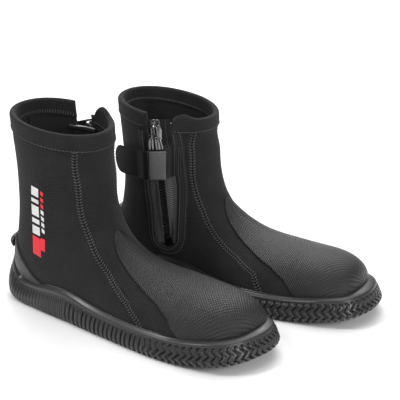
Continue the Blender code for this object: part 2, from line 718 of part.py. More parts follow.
def make_strap(boot):
    half = STRAP_WIDTH / 2
    along = np.linspace(STRAP_FRONT - 0.5, STRAP_LEAVES, 17)
    inner = strap_grid(boot, along, half, strap_lift(along)[None, :])
    outer = strap_grid(boot, along, half, strap_lift(along)[None, :] + STRAP_THICK)
    away = unit(inner[:, -1] - inner[:, -3]).mean(0)
    away = unit(away - np.array([0.0, 0.0, away[2]]) * 0.6)
    tabs = []
    for grid in (inner, outer):
        centre = grid[2, -1]
        columns = []
        for share in (0.2, 0.4, 0.58, 0.74, 0.87, 0.96, 1.0):
            distance = STRAP_TAB * share
            past = max(0.0, distance - (STRAP_TAB - half)) / half
            width = math.sqrt(max(1 - past**2, 0.02))
            columns.append(centre + away * distance + (grid[:, -1] - centre) * width)
        tabs.append(np.stack(columns, 1))
    inner = np.concatenate([inner, tabs[0]], 1)
    outer = np.concatenate([outer, tabs[1]], 1)
    pivot = (inner[2, 0] + outer[2, 0]) / 2
    thick_sheet(boot, "strap", outer, inner, "webbing", pivot)
    pad = np.linspace(PAD_FRONT, STRAP_LEAVES + 1, 10)
    thick_sheet(boot, "strap_hook_pad", strap_grid(boot, pad, half - 3, 2.9),
                strap_grid(boot, pad, half - 3, 2.0), "hook_loop", pivot)
    thick_sheet(boot, "loop_patch", strap_grid(boot, pad, half - 2, 1.7),
                strap_grid(boot, pad, half - 2, 0.8), "hook_loop")
    sewn = np.linspace(STRAP_FRONT + 0.2, STRAP_FRONT + ANCHOR_LENGTH, 3)
    thick_sheet(boot, "strap_anchor", strap_grid(boot, sewn, half, 4.4),
                strap_grid(boot, sewn, half, 3.0), "webbing")


def make_print(boot):
    rows = 6
    z = np.linspace(60.0, 132.0, rows)[:, None] * np.ones((1, 3))
    x = 48.0 + (z - 60.0) * 0.07 + np.linspace(0, 15, 3)[None, :]
    side_sheet(boot, "side_print", x, z, (0.8, 0.35), "print", inner_side=False)


# ---------------------------------------------------------------- the pair

def make_boot(side):
    boot = Boot(side)
    make_outsole(boot)
    make_footbed(boot)
    make_upper(boot)
    make_collar(boot)
    make_vamp(boot)
    make_heel_counter(boot)
    frame = ZipFrame(boot)
    make_zip(boot, frame)
    make_slider(boot, frame)
    make_gusset(boot)
    make_zip_surround(boot)
    make_strap(boot)
    make_print(boot)
    return boot


def stand_pair(right, left):
    """Put the left boot in its place and the middle of the pair's base at the origin."""
    pair = bpy.data.objects.new("pair_frame", None)
    bpy.context.scene.collection.objects.link(pair)
    right.empty.parent = pair
    left.empty.parent = pair
    pin = Vector((LEFT_TURN_AT_X * MM, 0.0, 0.0))
    place = Matrix.Translation(pin + Vector((LEFT_AHEAD * MM, LEFT_ASIDE * MM, 0.0)))
    left.empty.matrix_local = place @ Matrix.Rotation(LEFT_TURN, 4, "Z") @ Matrix.Translation(-pin)
    bpy.context.view_layer.update()
    graph = bpy.context.evaluated_depsgraph_get()
    corners = []
    for item in bpy.context.scene.objects:
        if item.type == "MESH" and not item.hide_render:
            shape = item.evaluated_get(graph)
            corners += [item.matrix_world @ vert.co for vert in shape.data.vertices]
    corners = np.array(corners)
    low = corners.min(0)
    high = corners.max(0)
    pair.location = (-(low[0] + high[0]) / 2, -(low[1] + high[1]) / 2, -low[2])
    bpy.context.view_layer.update()


def main():
    for item in list(bpy.data.objects):
        bpy.data.objects.remove(item, do_unlink=True)
    right = make_boot("right")
    left = make_boot("left")
    stand_pair(right, left)


main()
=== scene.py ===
"""The looks of a pair of neoprene boots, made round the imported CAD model.

Pieces are drawn in the right boot's own millimetres: x runs from the heel to the toes, the
instep side is +y and z is up. The left boot is the mirror image. Boot.row() gives the frame's metres.
"""
import json
import math

import bmesh
import bpy
import numpy as np
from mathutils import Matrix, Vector
from mathutils.bvhtree import BVHTree

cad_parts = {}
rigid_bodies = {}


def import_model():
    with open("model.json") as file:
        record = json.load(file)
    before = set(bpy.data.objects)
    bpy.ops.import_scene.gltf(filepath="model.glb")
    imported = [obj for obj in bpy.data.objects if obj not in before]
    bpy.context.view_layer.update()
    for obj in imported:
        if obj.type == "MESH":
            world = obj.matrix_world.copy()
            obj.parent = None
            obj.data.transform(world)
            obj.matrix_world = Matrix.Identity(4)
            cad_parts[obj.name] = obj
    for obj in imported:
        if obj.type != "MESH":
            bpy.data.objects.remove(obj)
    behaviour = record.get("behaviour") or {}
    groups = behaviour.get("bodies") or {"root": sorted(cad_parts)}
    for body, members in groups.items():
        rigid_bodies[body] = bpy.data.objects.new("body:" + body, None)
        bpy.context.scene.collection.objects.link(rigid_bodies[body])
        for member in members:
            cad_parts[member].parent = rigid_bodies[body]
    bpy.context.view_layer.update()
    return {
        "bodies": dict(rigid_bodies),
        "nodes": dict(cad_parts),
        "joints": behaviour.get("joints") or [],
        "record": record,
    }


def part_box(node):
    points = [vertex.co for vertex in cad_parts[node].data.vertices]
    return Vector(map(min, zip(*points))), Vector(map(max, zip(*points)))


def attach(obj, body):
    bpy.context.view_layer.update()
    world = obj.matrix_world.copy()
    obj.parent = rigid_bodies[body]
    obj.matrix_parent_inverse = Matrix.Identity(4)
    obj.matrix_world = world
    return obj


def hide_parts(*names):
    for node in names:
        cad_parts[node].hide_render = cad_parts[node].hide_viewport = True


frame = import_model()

MM = 0.001
PI = math.pi

# ---------------------------------------------------------------- the design's sizes, as in the part

LEFT_AHEAD = 22.0
LEFT_ASIDE = 142.0
LEFT_TURN = math.radians(8.0)
LEFT_TURN_AT_X = 140.0
LEFT_SHAFT_DROP = 10.0

# Cross-sections of the boot's outer skin, from the tip of the toes to the rim:
# front x and z, back x and z, outer and inner half width, height share of the widest place,
# roundness of the upper and the lower half, and y of the middle
SECTIONS = np.array([
    [282, 31, 282, 31, 0, 0, 0.50, 2.0, 2.0, 9],
    [280, 42, 279, 19, 18, 19, 0.46, 2.0, 2.2, 9],
    [272, 52, 270, 12, 31, 31, 0.42, 2.0, 2.6, 8],
    [252, 58, 249, 10, 41, 40, 0.38, 2.0, 3.0, 7],
    [225, 59, 221, 10, 45, 47, 0.34, 2.0, 3.4, 6],
    [194, 60, 185, 10, 44, 55, 0.31, 2.0, 3.6, 3],
    [162, 65, 145, 10, 40, 52, 0.30, 2.0, 3.4, 1],
    [133, 81, 100, 10, 37, 45, 0.33, 2.0, 3.0, 0],
    [118, 105, 52, 10, 36, 42, 0.40, 2.0, 2.6, 0],
    [114, 129, 6, 18, 38, 42, 0.45, 2.0, 2.3, 0],
    [112, 147, 2, 52, 40, 43, 0.50, 2.0, 2.2, 0],
    [108, 161, 9, 103, 42, 44, 0.50, 2.0, 2.1, 0],
    [109, 173, 7, 150, 43, 45, 0.50, 2.0, 2.1, 0],
    [108, 186, 3, 199, 45, 46, 0.50, 2.0, 2.1, 0],
], float)
RIM = float(len(SECTIONS) - 1)
SHAFT_START = 9.0

NEOPRENE = 4.5
COLLAR_HEIGHT = 17.0
SOLE_LINE = 140.0

# Seams as pairs of section number and angle in degrees from the front of the shin
OUTER_SEAM = [(4.4, 140), (4.7, 105), (5.1, 84), (5.6, 66), (6.6, 47), (7.75, 41), (8.9, 40), (13, 38)]
INNER_SEAM = [(4.3, -140), (4.6, -104), (5.1, -66), (5.85, -54), (6.8, -47.5), (7.65, -41),
              (8.4, -39.5), (10, -38), (11.8, -33), (13, -32)]
VAMP_EDGE = [(2.9, 116), (3.5, 100), (3.75, 90), (3.95, 80), (4.15, 68), (4.7, 52), (5.6, 37),
             (6.8, 21), (7.2, 13), (7.5, 3)]
COUNTER_FRONT = [(24, 56), (33, 42), (51, 29), (60, 22), (68, 14)]

ZIP_TOP_X = {"right": 48.0, "left": 70.0}
ZIP_TOP_Z = 165.0
ZIP_FOOT_X = 80.0
ZIP_FOOT_Z = 51.0
ZIP_TRAVEL = 96.0
ZIP_OPENING = 8.5
ZIP_CURVE_RADIUS = 60.0
SLIDER_HALF = 13.0
PULLER_PIVOT_T = -6.0
PULLER_PIVOT_N = 6.4

STRAP_WIDTH = 30.0
STRAP_TILT = 0.14
STRAP_FRONT = 11.0
STRAP_LEAVES = -40.0
STRAP_TAB = 24.0
STRAP_ARCH = [(-40, 3.2), (-23, 3.4), (-18, 6.0), (-12, 10.3), (7, 10.3), (9.5, 6.8), (11, 3.0)]
PAD_FRONT = -25.0
ANCHOR_LENGTH = 7.0
NOTCH_Z = 172.0

OUTLINE = [(-15, 2), (-8, -22), (12, -37), (50, -42), (100, -45), (150, -48), (200, -50), (245, -47),
           (276, -38), (293, -20), (300, 6), (297, 28), (284, 47), (258, 58), (225, 64), (185, 68),
           (150, 64), (100, 54), (50, 47), (12, 40), (-8, 25)]
CAD_OUTLINE_POINTS = 52
WALL_HEIGHT = 22.0
ARCH_WAVE = 8.0
TOE_BUMPER = 4.0
TOE_LIFT = 4.0
HEEL_RISE = 5.0
HEEL_KICK = 20.0
TOE_SPRING = 10.0
HEEL_BEVEL = 4.0

# ---------------------------------------------------------------- the looks' own sizes

SHEET_STEP = 1.7
SEAM_PITCH = 2.9
SEAM_THREAD = 0.55
HIDDEN_SEAM = 0.25
ZIP_SEAM_FOOT_Z = 39.0

# How far the collar band stands out from the skin, and how far it reaches in
COLLAR_PROUD = 0.9
COLLAR_INSIDE = 5.4
COLLAR_LENGTH = 300.0
COLLAR_CORNER = 7.0
COLLAR_PEAK = 4.5
COLLAR_PEAK_AT = 12.0
NOTCH_HALF = 9.5
NOTCH_FLARE_FRONT = 6.5
NOTCH_FLARE_REAR = 1.5

VAMP_LAST = 7.45
VAMP_OUT = 1.7
COUNTER_LOW = 24.0
COUNTER_HIGH = 69.0
LEDGE_LOW = 55.5
LEDGE_HIGH = 64.5

# How far the sole's wall stands in from its outline, by its share of the height
WALL_PROFILE = [(0.0, 5.2), (0.04, 3.6), (0.10, 2.2), (0.18, 1.0), (0.28, 0.2), (0.45, 0.0),
                (0.62, 0.5), (0.74, 1.4), (0.82, 2.2)]
# The same for the smooth lip above it
LIP_PROFILE = [(0.86, 2.3), (0.90, 2.0), (0.94, 2.1), (0.98, 2.7), (1.0, 3.5)]
LIP_INSET = 3.5
LUG_HEIGHT = 3.0
OUTSOLE_COLUMNS = 1890
SCALLOP = 2.6
HEEL_RIBS_END = 58.0
ARCH_RIBS_END = 92.0
SIDE_RIBS_END = 205.0
RIB_PITCHES = (5.0, 2.7, 5.9)
RIB_DEPTHS = (0.9, 0.9, 2.3)
TOE_RIB_PITCH = 7.6
TOE_RIB_DEPTH = 2.4
TREAD_PITCH = 7.0
TREAD_MARGIN = 10.0
BEAD_WIDTH = 1.7

# Places along the zip are measured down from the slider's middle, and heights off the zip's line
TOOTH_PITCH = 3.0
TEETH_TOP = -9.0
TEETH_LEVEL = 2.0
CORD_TOP = -11.5
STOP_TOP = -11.2
TAPE_TOP = -12.0
TAPE_INNER = 4.0
TAPE_WIDTH = 10.0
TAPE_LIFT = 1.6
TAPE_HALF_THICK = 0.4
SLIDER_MIDDLE = 2.4
SLIDER_SHORT = 10.4
SLIDER_TOP_HALF = 8.0
SLIDER_BACK_HALF = 6.2
BRIDGE_MIDDLE = -2.2
BRIDGE_REACH = 5.2
BRIDGE_RISE = 3.1
PULLER_TOP = 4.6
PULLER_LENGTH = 16.0
PULLER_HALF = 8.0
PULLER_RIB = 0.42
GUSSET_LOW = 60.0
GUSSET_HEIGHT = 108.5
GUSSET_HALF = 17.5
BINDING_Z = 169.6
FLAP_INNER = 12.5
FLAP_OUTER = 22.0
FLAP_TOP_Z = 163.0
FLAP_FOOT_Z = 55.0
FLAP_SQUASH = 0.95

# The drawn strap sits a little higher than the part's
STRAP_Z = 132.5
STRAP_JOIN = -7.0
STRAP_DARK_END = 7.5
STRAP_COLUMNS = 48
ANCHOR_OUT = 4.0

# The print: its rear edge at the foot, its lean, and the heights of its blocks
PRINT_X = 47.5
PRINT_Z = 57.0
PRINT_LEAN = 0.08
PRINT_WIDTH = 9.0
WHITE_BLOCKS = ((81, 90), (93, 98), (101, 112), (115, 119), (122, 131))
DASH_COUNT = 7
DASH_Z = 84
DASH_PITCH = 6.6
DASH_HEIGHT = 4.2
WHITE_DASHES = 4


def smooth_step(value):
    value = np.clip(value, 0, 1)
    return value * value * (3 - 2 * value)


def unit(vectors):
    length = np.linalg.norm(vectors, axis=-1, keepdims=True)
    return vectors / np.maximum(length, 1e-12)


def knots(pairs, value):
    xs, ys = zip(*pairs)
    return np.interp(value, xs, ys)


def natural_spline(table):
    """Return a function that runs a smooth curve through the rows of the table."""
    count = len(table)
    system = np.eye(count)
    right = np.zeros_like(table)
    for row in range(1, count - 1):
        system[row, row - 1:row + 2] = (1, 4, 1)
        right[row] = 6 * (table[row - 1] - 2 * table[row] + table[row + 1])
    bend = np.linalg.solve(system, right)

    def curve(place):
        place = np.clip(np.asarray(place, float), 0, count - 1 - 1e-9)
        row = np.floor(place).astype(int)
        part = (place - row)[..., None]
        rest = 1 - part
        chord = table[row] * rest + table[row + 1] * part
        return chord + ((rest**3 - rest) * bend[row] + (part**3 - part) * bend[row + 1]) / 6
    return curve


def section_where(under, shape):
    """Section numbers from 5 to the rim at which a test stops being true, by halving."""
    low_end = np.full(shape, 5.0)
    high_end = np.full(shape, RIM)
    for _ in range(30):
        place = (low_end + high_end) / 2
        short = under(place)
        low_end = np.where(short, place, low_end)
        high_end = np.where(short, high_end, place)
    return place


def signed_power(value, power):
    return np.sign(value) * np.abs(value) ** power


class Skin:
    """The outer skin of one boot, addressed by an angle and a section number."""

    def __init__(self, drop):
        table = SECTIONS.copy()
        lower = np.clip((np.arange(len(table)) - SHAFT_START) / (RIM - SHAFT_START), 0, 1) * drop
        table[:, 1] -= lower
        table[:, 3] -= lower
        self.section = natural_spline(table)

    def point(self, angle, place):
        xf, zf, xb, zb, outer, inner, low, upper_n, lower_n, middle = np.moveaxis(
            self.section(place), -1, 0)
        cosine = np.cos(angle)
        sine = np.sin(angle)
        power = np.where(cosine > 0, 2 / upper_n, 2 / lower_n)
        along = signed_power(cosine, power)
        aside = signed_power(sine, power)
        share = low + np.where(cosine > 0, 1 - low, low) * along
        x = xb + (xf - xb) * share
        z = zb + (zf - zb) * share
        y = middle - aside * np.where(aside > 0, outer, inner)
        return np.stack([x, y, z], -1)

    def normal(self, angle, place):
        step = 0.002
        inside = np.clip(place, 0.02, RIM - step)
        across = self.point(angle + step, inside) - self.point(angle - step, inside)
        down = self.point(angle, inside - 0.01) - self.point(angle, inside + 0.01)
        tip = np.clip(1 - place / 0.5, 0, 1)[..., None]
        return unit(unit(np.cross(across, down)) * (1 - tip) + np.array([1.0, 0.0, 0.1]) * tip)

    def lifted(self, angle, place, lift):
        """Points that stand a distance off the skin, along its normal."""
        angle, place = np.broadcast_arrays(np.asarray(angle, float), np.asarray(place, float))
        return self.point(angle, place) + self.normal(angle, place) * np.asarray(lift)[..., None]

    def level(self, angle, z):
        """Section number at which the skin passes a height, at each angle."""
        angle, z = np.broadcast_arrays(angle, z)
        return section_where(lambda place: self.point(angle, place)[..., 2] < z, angle.shape)

    def beside(self, x, z, inner_side=True):
        """Angle and section of the skin point that is seen at x, z from the side."""
        x, z = np.broadcast_arrays(np.asarray(x, float), np.asarray(z, float))

        def forward(rows):
            return (x - rows[..., 2]) / (rows[..., 0] - rows[..., 2])

        def under(place):
            rows = self.section(place)
            return rows[..., 3] + (rows[..., 1] - rows[..., 3]) * forward(rows) < z

        place = section_where(under, x.shape)
        rows = self.section(place)
        share = forward(rows)
        widest = rows[..., 6]
        along = np.clip((share - widest) / np.where(share > widest, 1 - widest, widest), -1, 1)
        power = np.where(along > 0, rows[..., 7], rows[..., 8]) / 2
        angle = np.arccos(signed_power(along, power))
        return (-angle if inner_side else angle), place


def seam(pairs, place):
    return np.radians(knots(pairs, place))


def band_edge(angle):
    """Section number of the collar band's lower edge, a constant height below the rim."""
    return RIM - COLLAR_HEIGHT / (31.0 - 18.0 * np.cos(angle))


def closed_outline(count):
    """Evenly numbered points on a smooth closed curve through the sole outline's points."""
    base = np.array(OUTLINE, float)
    total = len(base)
    place = np.arange(count) * total / count
    row = np.floor(place).astype(int)
    part = (place - row)[:, None]
    before, here, after, beyond = (base[(row + shift) % total] for shift in (-1, 0, 1, 2))
    return 0.5 * (2 * here + (after - before) * part
                  + (2 * before - 5 * here + 4 * after - beyond) * part**2
                  + (3 * here - before - 3 * after + beyond) * part**3)


def ground(x):
    """How far the bottom of the sole rises at the toes and at the back of the heel."""
    toe = np.clip((x - 200) / 95, 0, None) ** 2 * TOE_SPRING
    heel = np.clip((20 - x) / 35, 0, None) ** 2 * HEEL_BEVEL
    return toe + heel


def wall_top(x):
    """Height of the moulded wall: a wave beside the arch, a toe bumper and a heel kick."""
    wave = ARCH_WAVE * np.exp(-((x - 85) / 38) ** 2)
    bumper = TOE_BUMPER * smooth_step((x - 215) / 60)
    heel = HEEL_RISE * smooth_step((25 - x) / 30)
    kick = HEEL_KICK * smooth_step((14 - x) / 24)
    return WALL_HEIGHT + wave + bumper + heel + kick + np.clip((x - 200) / 95, 0, None) ** 2 * TOE_LIFT


class Boot:
    """One boot: its side, its skin and its place in the row frame."""

    def __init__(self, side):
        self.side = side
        self.mirror = -1.0 if side == "left" else 1.0
        self.skin = Skin(LEFT_SHAFT_DROP if side == "left" else 0.0)
        self.zip_lean = (ZIP_FOOT_X - ZIP_TOP_X[side]) / (ZIP_TOP_Z - ZIP_FOOT_Z)
        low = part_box("right_outsole")[0]
        outline_low = closed_outline(CAD_OUTLINE_POINTS).min(0) * MM
        self.turn = np.eye(3)
        self.shift = np.array([low.x - outline_low[0], low.y - outline_low[1], 0.0])
        if side == "left":
            cosine = math.cos(LEFT_TURN)
            sine = math.sin(LEFT_TURN)
            self.turn = np.array([[cosine, -sine, 0], [sine, cosine, 0], [0, 0, 1]])
            pin = np.array([LEFT_TURN_AT_X, 0.0, 0.0])
            stand = pin + np.array([LEFT_AHEAD, LEFT_ASIDE, 0.0]) - self.turn @ pin
            self.shift = self.shift + stand * MM

    def zip_x(self, z):
        """The zip line's place seen from the side, at a height."""
        return ZIP_FOOT_X - (z - ZIP_FOOT_Z) * self.zip_lean

    def by_zip(self, offset, z):
        """Angle and section of the skin at a distance from the zip's line, at a height."""
        return self.skin.beside(self.zip_x(z) + offset, z)

    def strap_skin(self, offset, across):
        """Angle and section of the skin under the strap, at an offset from the zip's line."""
        offset, across = np.broadcast_arrays(np.asarray(offset, float), np.asarray(across, float))
        z = STRAP_Z + offset * STRAP_TILT + across
        return self.skin.beside(self.zip_x(STRAP_Z) + offset, z)

    def row(self, points):
        """Points of the boot's own millimetres as points of the row frame, in metres."""
        flipped = np.asarray(points, float) * np.array([1.0, self.mirror, 1.0])
        return flipped @ self.turn.T * MM + self.shift


# ---------------------------------------------------------------- mesh helpers

def volume(verts, faces):
    """Signed volume of a closed mesh, positive where its faces point out."""
    total = 0.0
    for size in set(len(face) for face in faces):
        corners = verts[np.array([face for face in faces if len(face) == size])]
        for step in range(1, size - 1):
            cross = np.cross(corners[:, step], corners[:, step + 1])
            total += np.einsum("ij,ij->", corners[:, 0], cross)
    return total


def make_piece(boot, name, verts, faces, look, *, slot, body="boot", instead_of=None, uv=None,
               weld=False, sharp=45.0):
    """Make a piece from points in the boot's own millimetres, and say what it rides on.

    It replaces the CAD node of its own name, unless instead_of lists other nodes or none.
    """
    verts = boot.row(verts)
    faces = [list(map(int, face)) for face in faces]
    if volume(verts - verts.mean(0), faces) < 0:
        faces = [face[::-1] for face in faces]
    full_name = boot.side + "_" + name
    mesh = bpy.data.meshes.new(full_name)
    mesh.from_pydata(verts.tolist(), [], faces)
    if uv is not None:
        layer = mesh.uv_layers.new(name="surface")
        index = np.empty(len(mesh.loops), np.int32)
        mesh.loops.foreach_get("vertex_index", index)
        layer.data.foreach_set("uv", np.asarray(uv, np.float32)[index].ravel())
    if weld:
        shape = bmesh.new()
        shape.from_mesh(mesh)
        bmesh.ops.remove_doubles(shape, verts=shape.verts, dist=2e-6)
        shape.to_mesh(mesh)
        shape.free()
    mesh.materials.append(LOOKS[look])
    mesh.shade_smooth()
    if sharp:
        mesh.set_sharp_from_angle(angle=math.radians(sharp))
    made = bpy.data.objects.new(full_name, mesh)
    bpy.context.scene.collection.objects.link(made)
    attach(made, boot.side + "_" + body)
    nodes = [name] if instead_of is None else instead_of
    if nodes:
        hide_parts(*[boot.side + "_" + node for node in nodes])
    return made


def sheet_faces(rows, cols):
    """Faces of a thin closed sheet: an outer grid, and an inner one that shares its border."""
    outer = np.arange(rows * cols).reshape(rows, cols)
    inner = outer.copy()
    inner[1:-1, 1:-1] = rows * cols + np.arange((rows - 2) * (cols - 2)).reshape(rows - 2, cols - 2)

    def quads(index):
        corners = [index[:-1, :-1], index[:-1, 1:], index[1:, 1:], index[1:, :-1]]
        return np.stack(corners, -1).reshape(-1, 4)
    return np.concatenate([quads(outer), quads(inner)[:, ::-1]])


def round_quads(*shape):
    """Faces between closed rings of points, for an array of points of this shape."""
    here = np.arange(np.prod(shape)).reshape(shape)
    after = np.roll(here, -1, -1)
    corners = [here[..., :-1, :], after[..., :-1, :], after[..., 1:, :], here[..., 1:, :]]
    return np.stack(corners, -1).reshape(-1, 4)


def shares(length, step=SHEET_STEP, edge=1.0, rounds=4):
    """Numbers from 0 to 1 for a grid line: even, and close together near both rounded ends."""
    near = edge * (1 - np.cos(np.linspace(0, PI / 2, rounds + 1)))
    count = max(3, int(length / step))
    middle = np.linspace(edge, length - edge, count)
    line = np.concatenate([near[:-1], middle, length - near[-2::-1]])
    return line / length


def border_rounding(points, radii):
    """0 at the border of a grid of points and 1 inside, along a quarter circle of each radius.

    The radii are one for all sides, or those of the left, right, low and high side.
    """
    left, right, low, high = np.broadcast_to(radii, 4)
    along = np.linalg.norm(np.diff(points, axis=1), axis=-1)
    along = np.concatenate([np.zeros((len(points), 1)), np.cumsum(along, 1)], 1)
    up = np.linalg.norm(np.diff(points, axis=0), axis=-1)
    up = np.concatenate([np.zeros((1, points.shape[1])), np.cumsum(up, 0)], 0)
    rounding = np.ones(points.shape[:2])
    distances = ((along, left), (along[:, -1:] - along, right), (up, low), (up[-1:] - up, high))
    for distance, radius in distances:
        if radius > 0:
            share = np.clip(distance / radius, 0, 1)
            rounding = np.minimum(rounding, np.sqrt(1 - (1 - share) ** 2))
    return rounding, along, up


def lay_sheet(boot, name, angle, place, out, into, look, radii=1.0, adjust=None, **facts):
    """A closed sheet on the skin between two lifts, with rounded borders, and UVs in millimetres."""
    angle, place = np.broadcast_arrays(angle, place)
    base = boot.skin.point(angle, place)
    rounding, along, up = border_rounding(base, radii)
    out, into = np.broadcast_arrays(out, into)
    middle = (out + into) / 2
    half = (out - into) / 2 * rounding
    outer = boot.skin.lifted(angle, place, middle + half)
    inner = boot.skin.lifted(angle, place, middle - half)
    if adjust:
        outer = adjust(outer)
        inner = adjust(inner)
    return grid_piece(boot, name, outer, inner, along, up, look, **facts)


def grid_piece(boot, name, outer, inner, along, up, look, **facts):
    rows, cols = outer.shape[:2]
    verts = np.concatenate([outer.reshape(-1, 3), inner[1:-1, 1:-1].reshape(-1, 3)])
    uv = np.stack([along - along[:, -1:] / 2, up], -1)
    uv = np.concatenate([uv.reshape(-1, 2), uv[1:-1, 1:-1].reshape(-1, 2)])
    return make_piece(boot, name, verts, sheet_faces(rows, cols), look, uv=uv, **facts)


def tubes(starts, ends, normals, radius, height):
    """Arched threads from starts to ends, one closed tube each, as points and faces."""
    count = len(starts)
    steps = 6
    ring = 6
    share = np.linspace(0, 1, steps)[None, :, None]
    line = starts[:, None] + (ends - starts)[:, None] * share
    rise = np.sin(PI * share) * (height + radius) - radius * 0.8
    line = line + normals[:, None] * rise
    ahead = unit(np.gradient(line, axis=1))
    side = unit(np.cross(ahead, normals[:, None]))
    over = np.cross(side, ahead)
    turn = np.linspace(0, 2 * PI, ring, endpoint=False)
    taper = (0.55 + 0.45 * np.sin(PI * share) ** 0.5)[..., None]
    circle = side[:, :, None] * np.cos(turn)[None, None, :, None] \
        + over[:, :, None] * np.sin(turn)[None, None, :, None]
    verts = (line[:, :, None] + circle * radius * taper).reshape(-1, 3)
    here = np.arange(count * steps * ring).reshape(count, steps, ring)
    caps = [list(stitch[0][::-1]) for stitch in here] + [list(stitch[-1]) for stitch in here]
    return verts, round_quads(count, steps, ring).tolist() + caps


def resample(points, pitch):
    """Points at even distances along a line, at least two."""
    distance = np.concatenate([[0], np.cumsum(np.linalg.norm(np.diff(points, axis=0), axis=1))])
    count = max(2, int(distance[-1] / pitch) + 1)
    at = np.linspace(0, distance[-1], count)
    return np.stack([np.interp(at, distance, points[:, axis]) for axis in range(3)], 1)


def even_line(line, above, pitch):
    """Even points of a line, with the normals towards a line above it and the ways across it."""
    points = resample(line, pitch)
    beyond = resample(above, pitch)
    count = min(len(points), len(beyond))
    points = points[:count]
    normals = unit(beyond[:count] - points)
    ahead = unit(np.gradient(points, axis=0))
    return points, normals, ahead, np.cross(normals, ahead)


def skin_line(boot, angle, place, lift, pitch):
    """Even points of a line on the skin, with its normals and the ways across it."""
    lift = lift + 0 * place
    above = boot.skin.lifted(angle, place, lift + 1)
    return even_line(boot.skin.lifted(angle, place, lift), above, pitch)


def running_stitches(line, length=2.5, offset=0.0):
    """Start and end points of one stitch for each point of a line."""
    points, normals, ahead, across = line
    middle = points + across * offset
    return middle - ahead * length / 2, middle + ahead * length / 2, normals


def flat_seam(line, reach=3.1, slant=1.5):
    """The slanting threads of a flat two-needle seam, on both sides of a line."""
    points, normals, ahead, across = line
    starts = []
    ends = []
    for side in (-1, 1):
        starts.append(points + across * side * HIDDEN_SEAM - ahead * slant / 2)
        ends.append(points + across * side * reach + ahead * slant / 2)
    return np.concatenate(starts), np.concatenate(ends), np.concatenate([normals, normals])


def sew(boot, name, rows, look, radius=0.42, height=0.35, body="boot"):
    """One piece of thread from several rows of stitches."""
    starts, ends, normals = (np.concatenate(part) for part in zip(*rows))
    verts, faces = tubes(starts, ends, normals, radius, height)
    return make_piece(boot, name, verts, faces, look, body=body, instead_of=(), slot="webbing",
                      sharp=None)


def loft(rings):
    """A closed body through rings of the same number of points, with flat ends."""
    rings = np.asarray(rings, float)
    rows, cols = rings.shape[:2]
    ends = [list(range(cols))[::-1], list(range((rows - 1) * cols, rows * cols))]
    return rings.reshape(-1, 3), round_quads(rows, cols).tolist() + ends


def sweep(points, normals, section):
    """A closed bar that follows points, with one normal or many, and (across, out) pairs."""
    normals = np.broadcast_to(normals, points.shape)
    ahead = unit(np.gradient(points, axis=0))
    across = unit(np.cross(ahead, normals))
    section = np.asarray(section, float)[None]
    sideways = across[:, None] * section[..., :1]
    return loft(points[:, None] + sideways + normals[:, None] * section[..., 1:])


def rounded(width, height, radius, steps=3):
    """The outline of a rounded rectangle centred on the origin, as pairs."""
    points = []
    for corner in range(4):
        middle_x = (width / 2 - radius) * (1 if corner in (0, 3) else -1)
        middle_y = (height / 2 - radius) * (1 if corner in (0, 1) else -1)
        for turn in np.linspace(corner * PI / 2, (corner + 1) * PI / 2, steps + 1):
            points.append((middle_x + radius * math.cos(turn), middle_y + radius * math.sin(turn)))
    return np.array(points)


def together(parts):
    """Several bodies as one list of points and faces."""
    verts = []
    faces = []
    total = 0
    for part_verts, part_faces in parts:
        verts.append(np.asarray(part_verts))
        faces += [[index + total for index in face] for face in part_faces]
        total += len(part_verts)
    return np.concatenate(verts), faces


# ---------------------------------------------------------------- materials

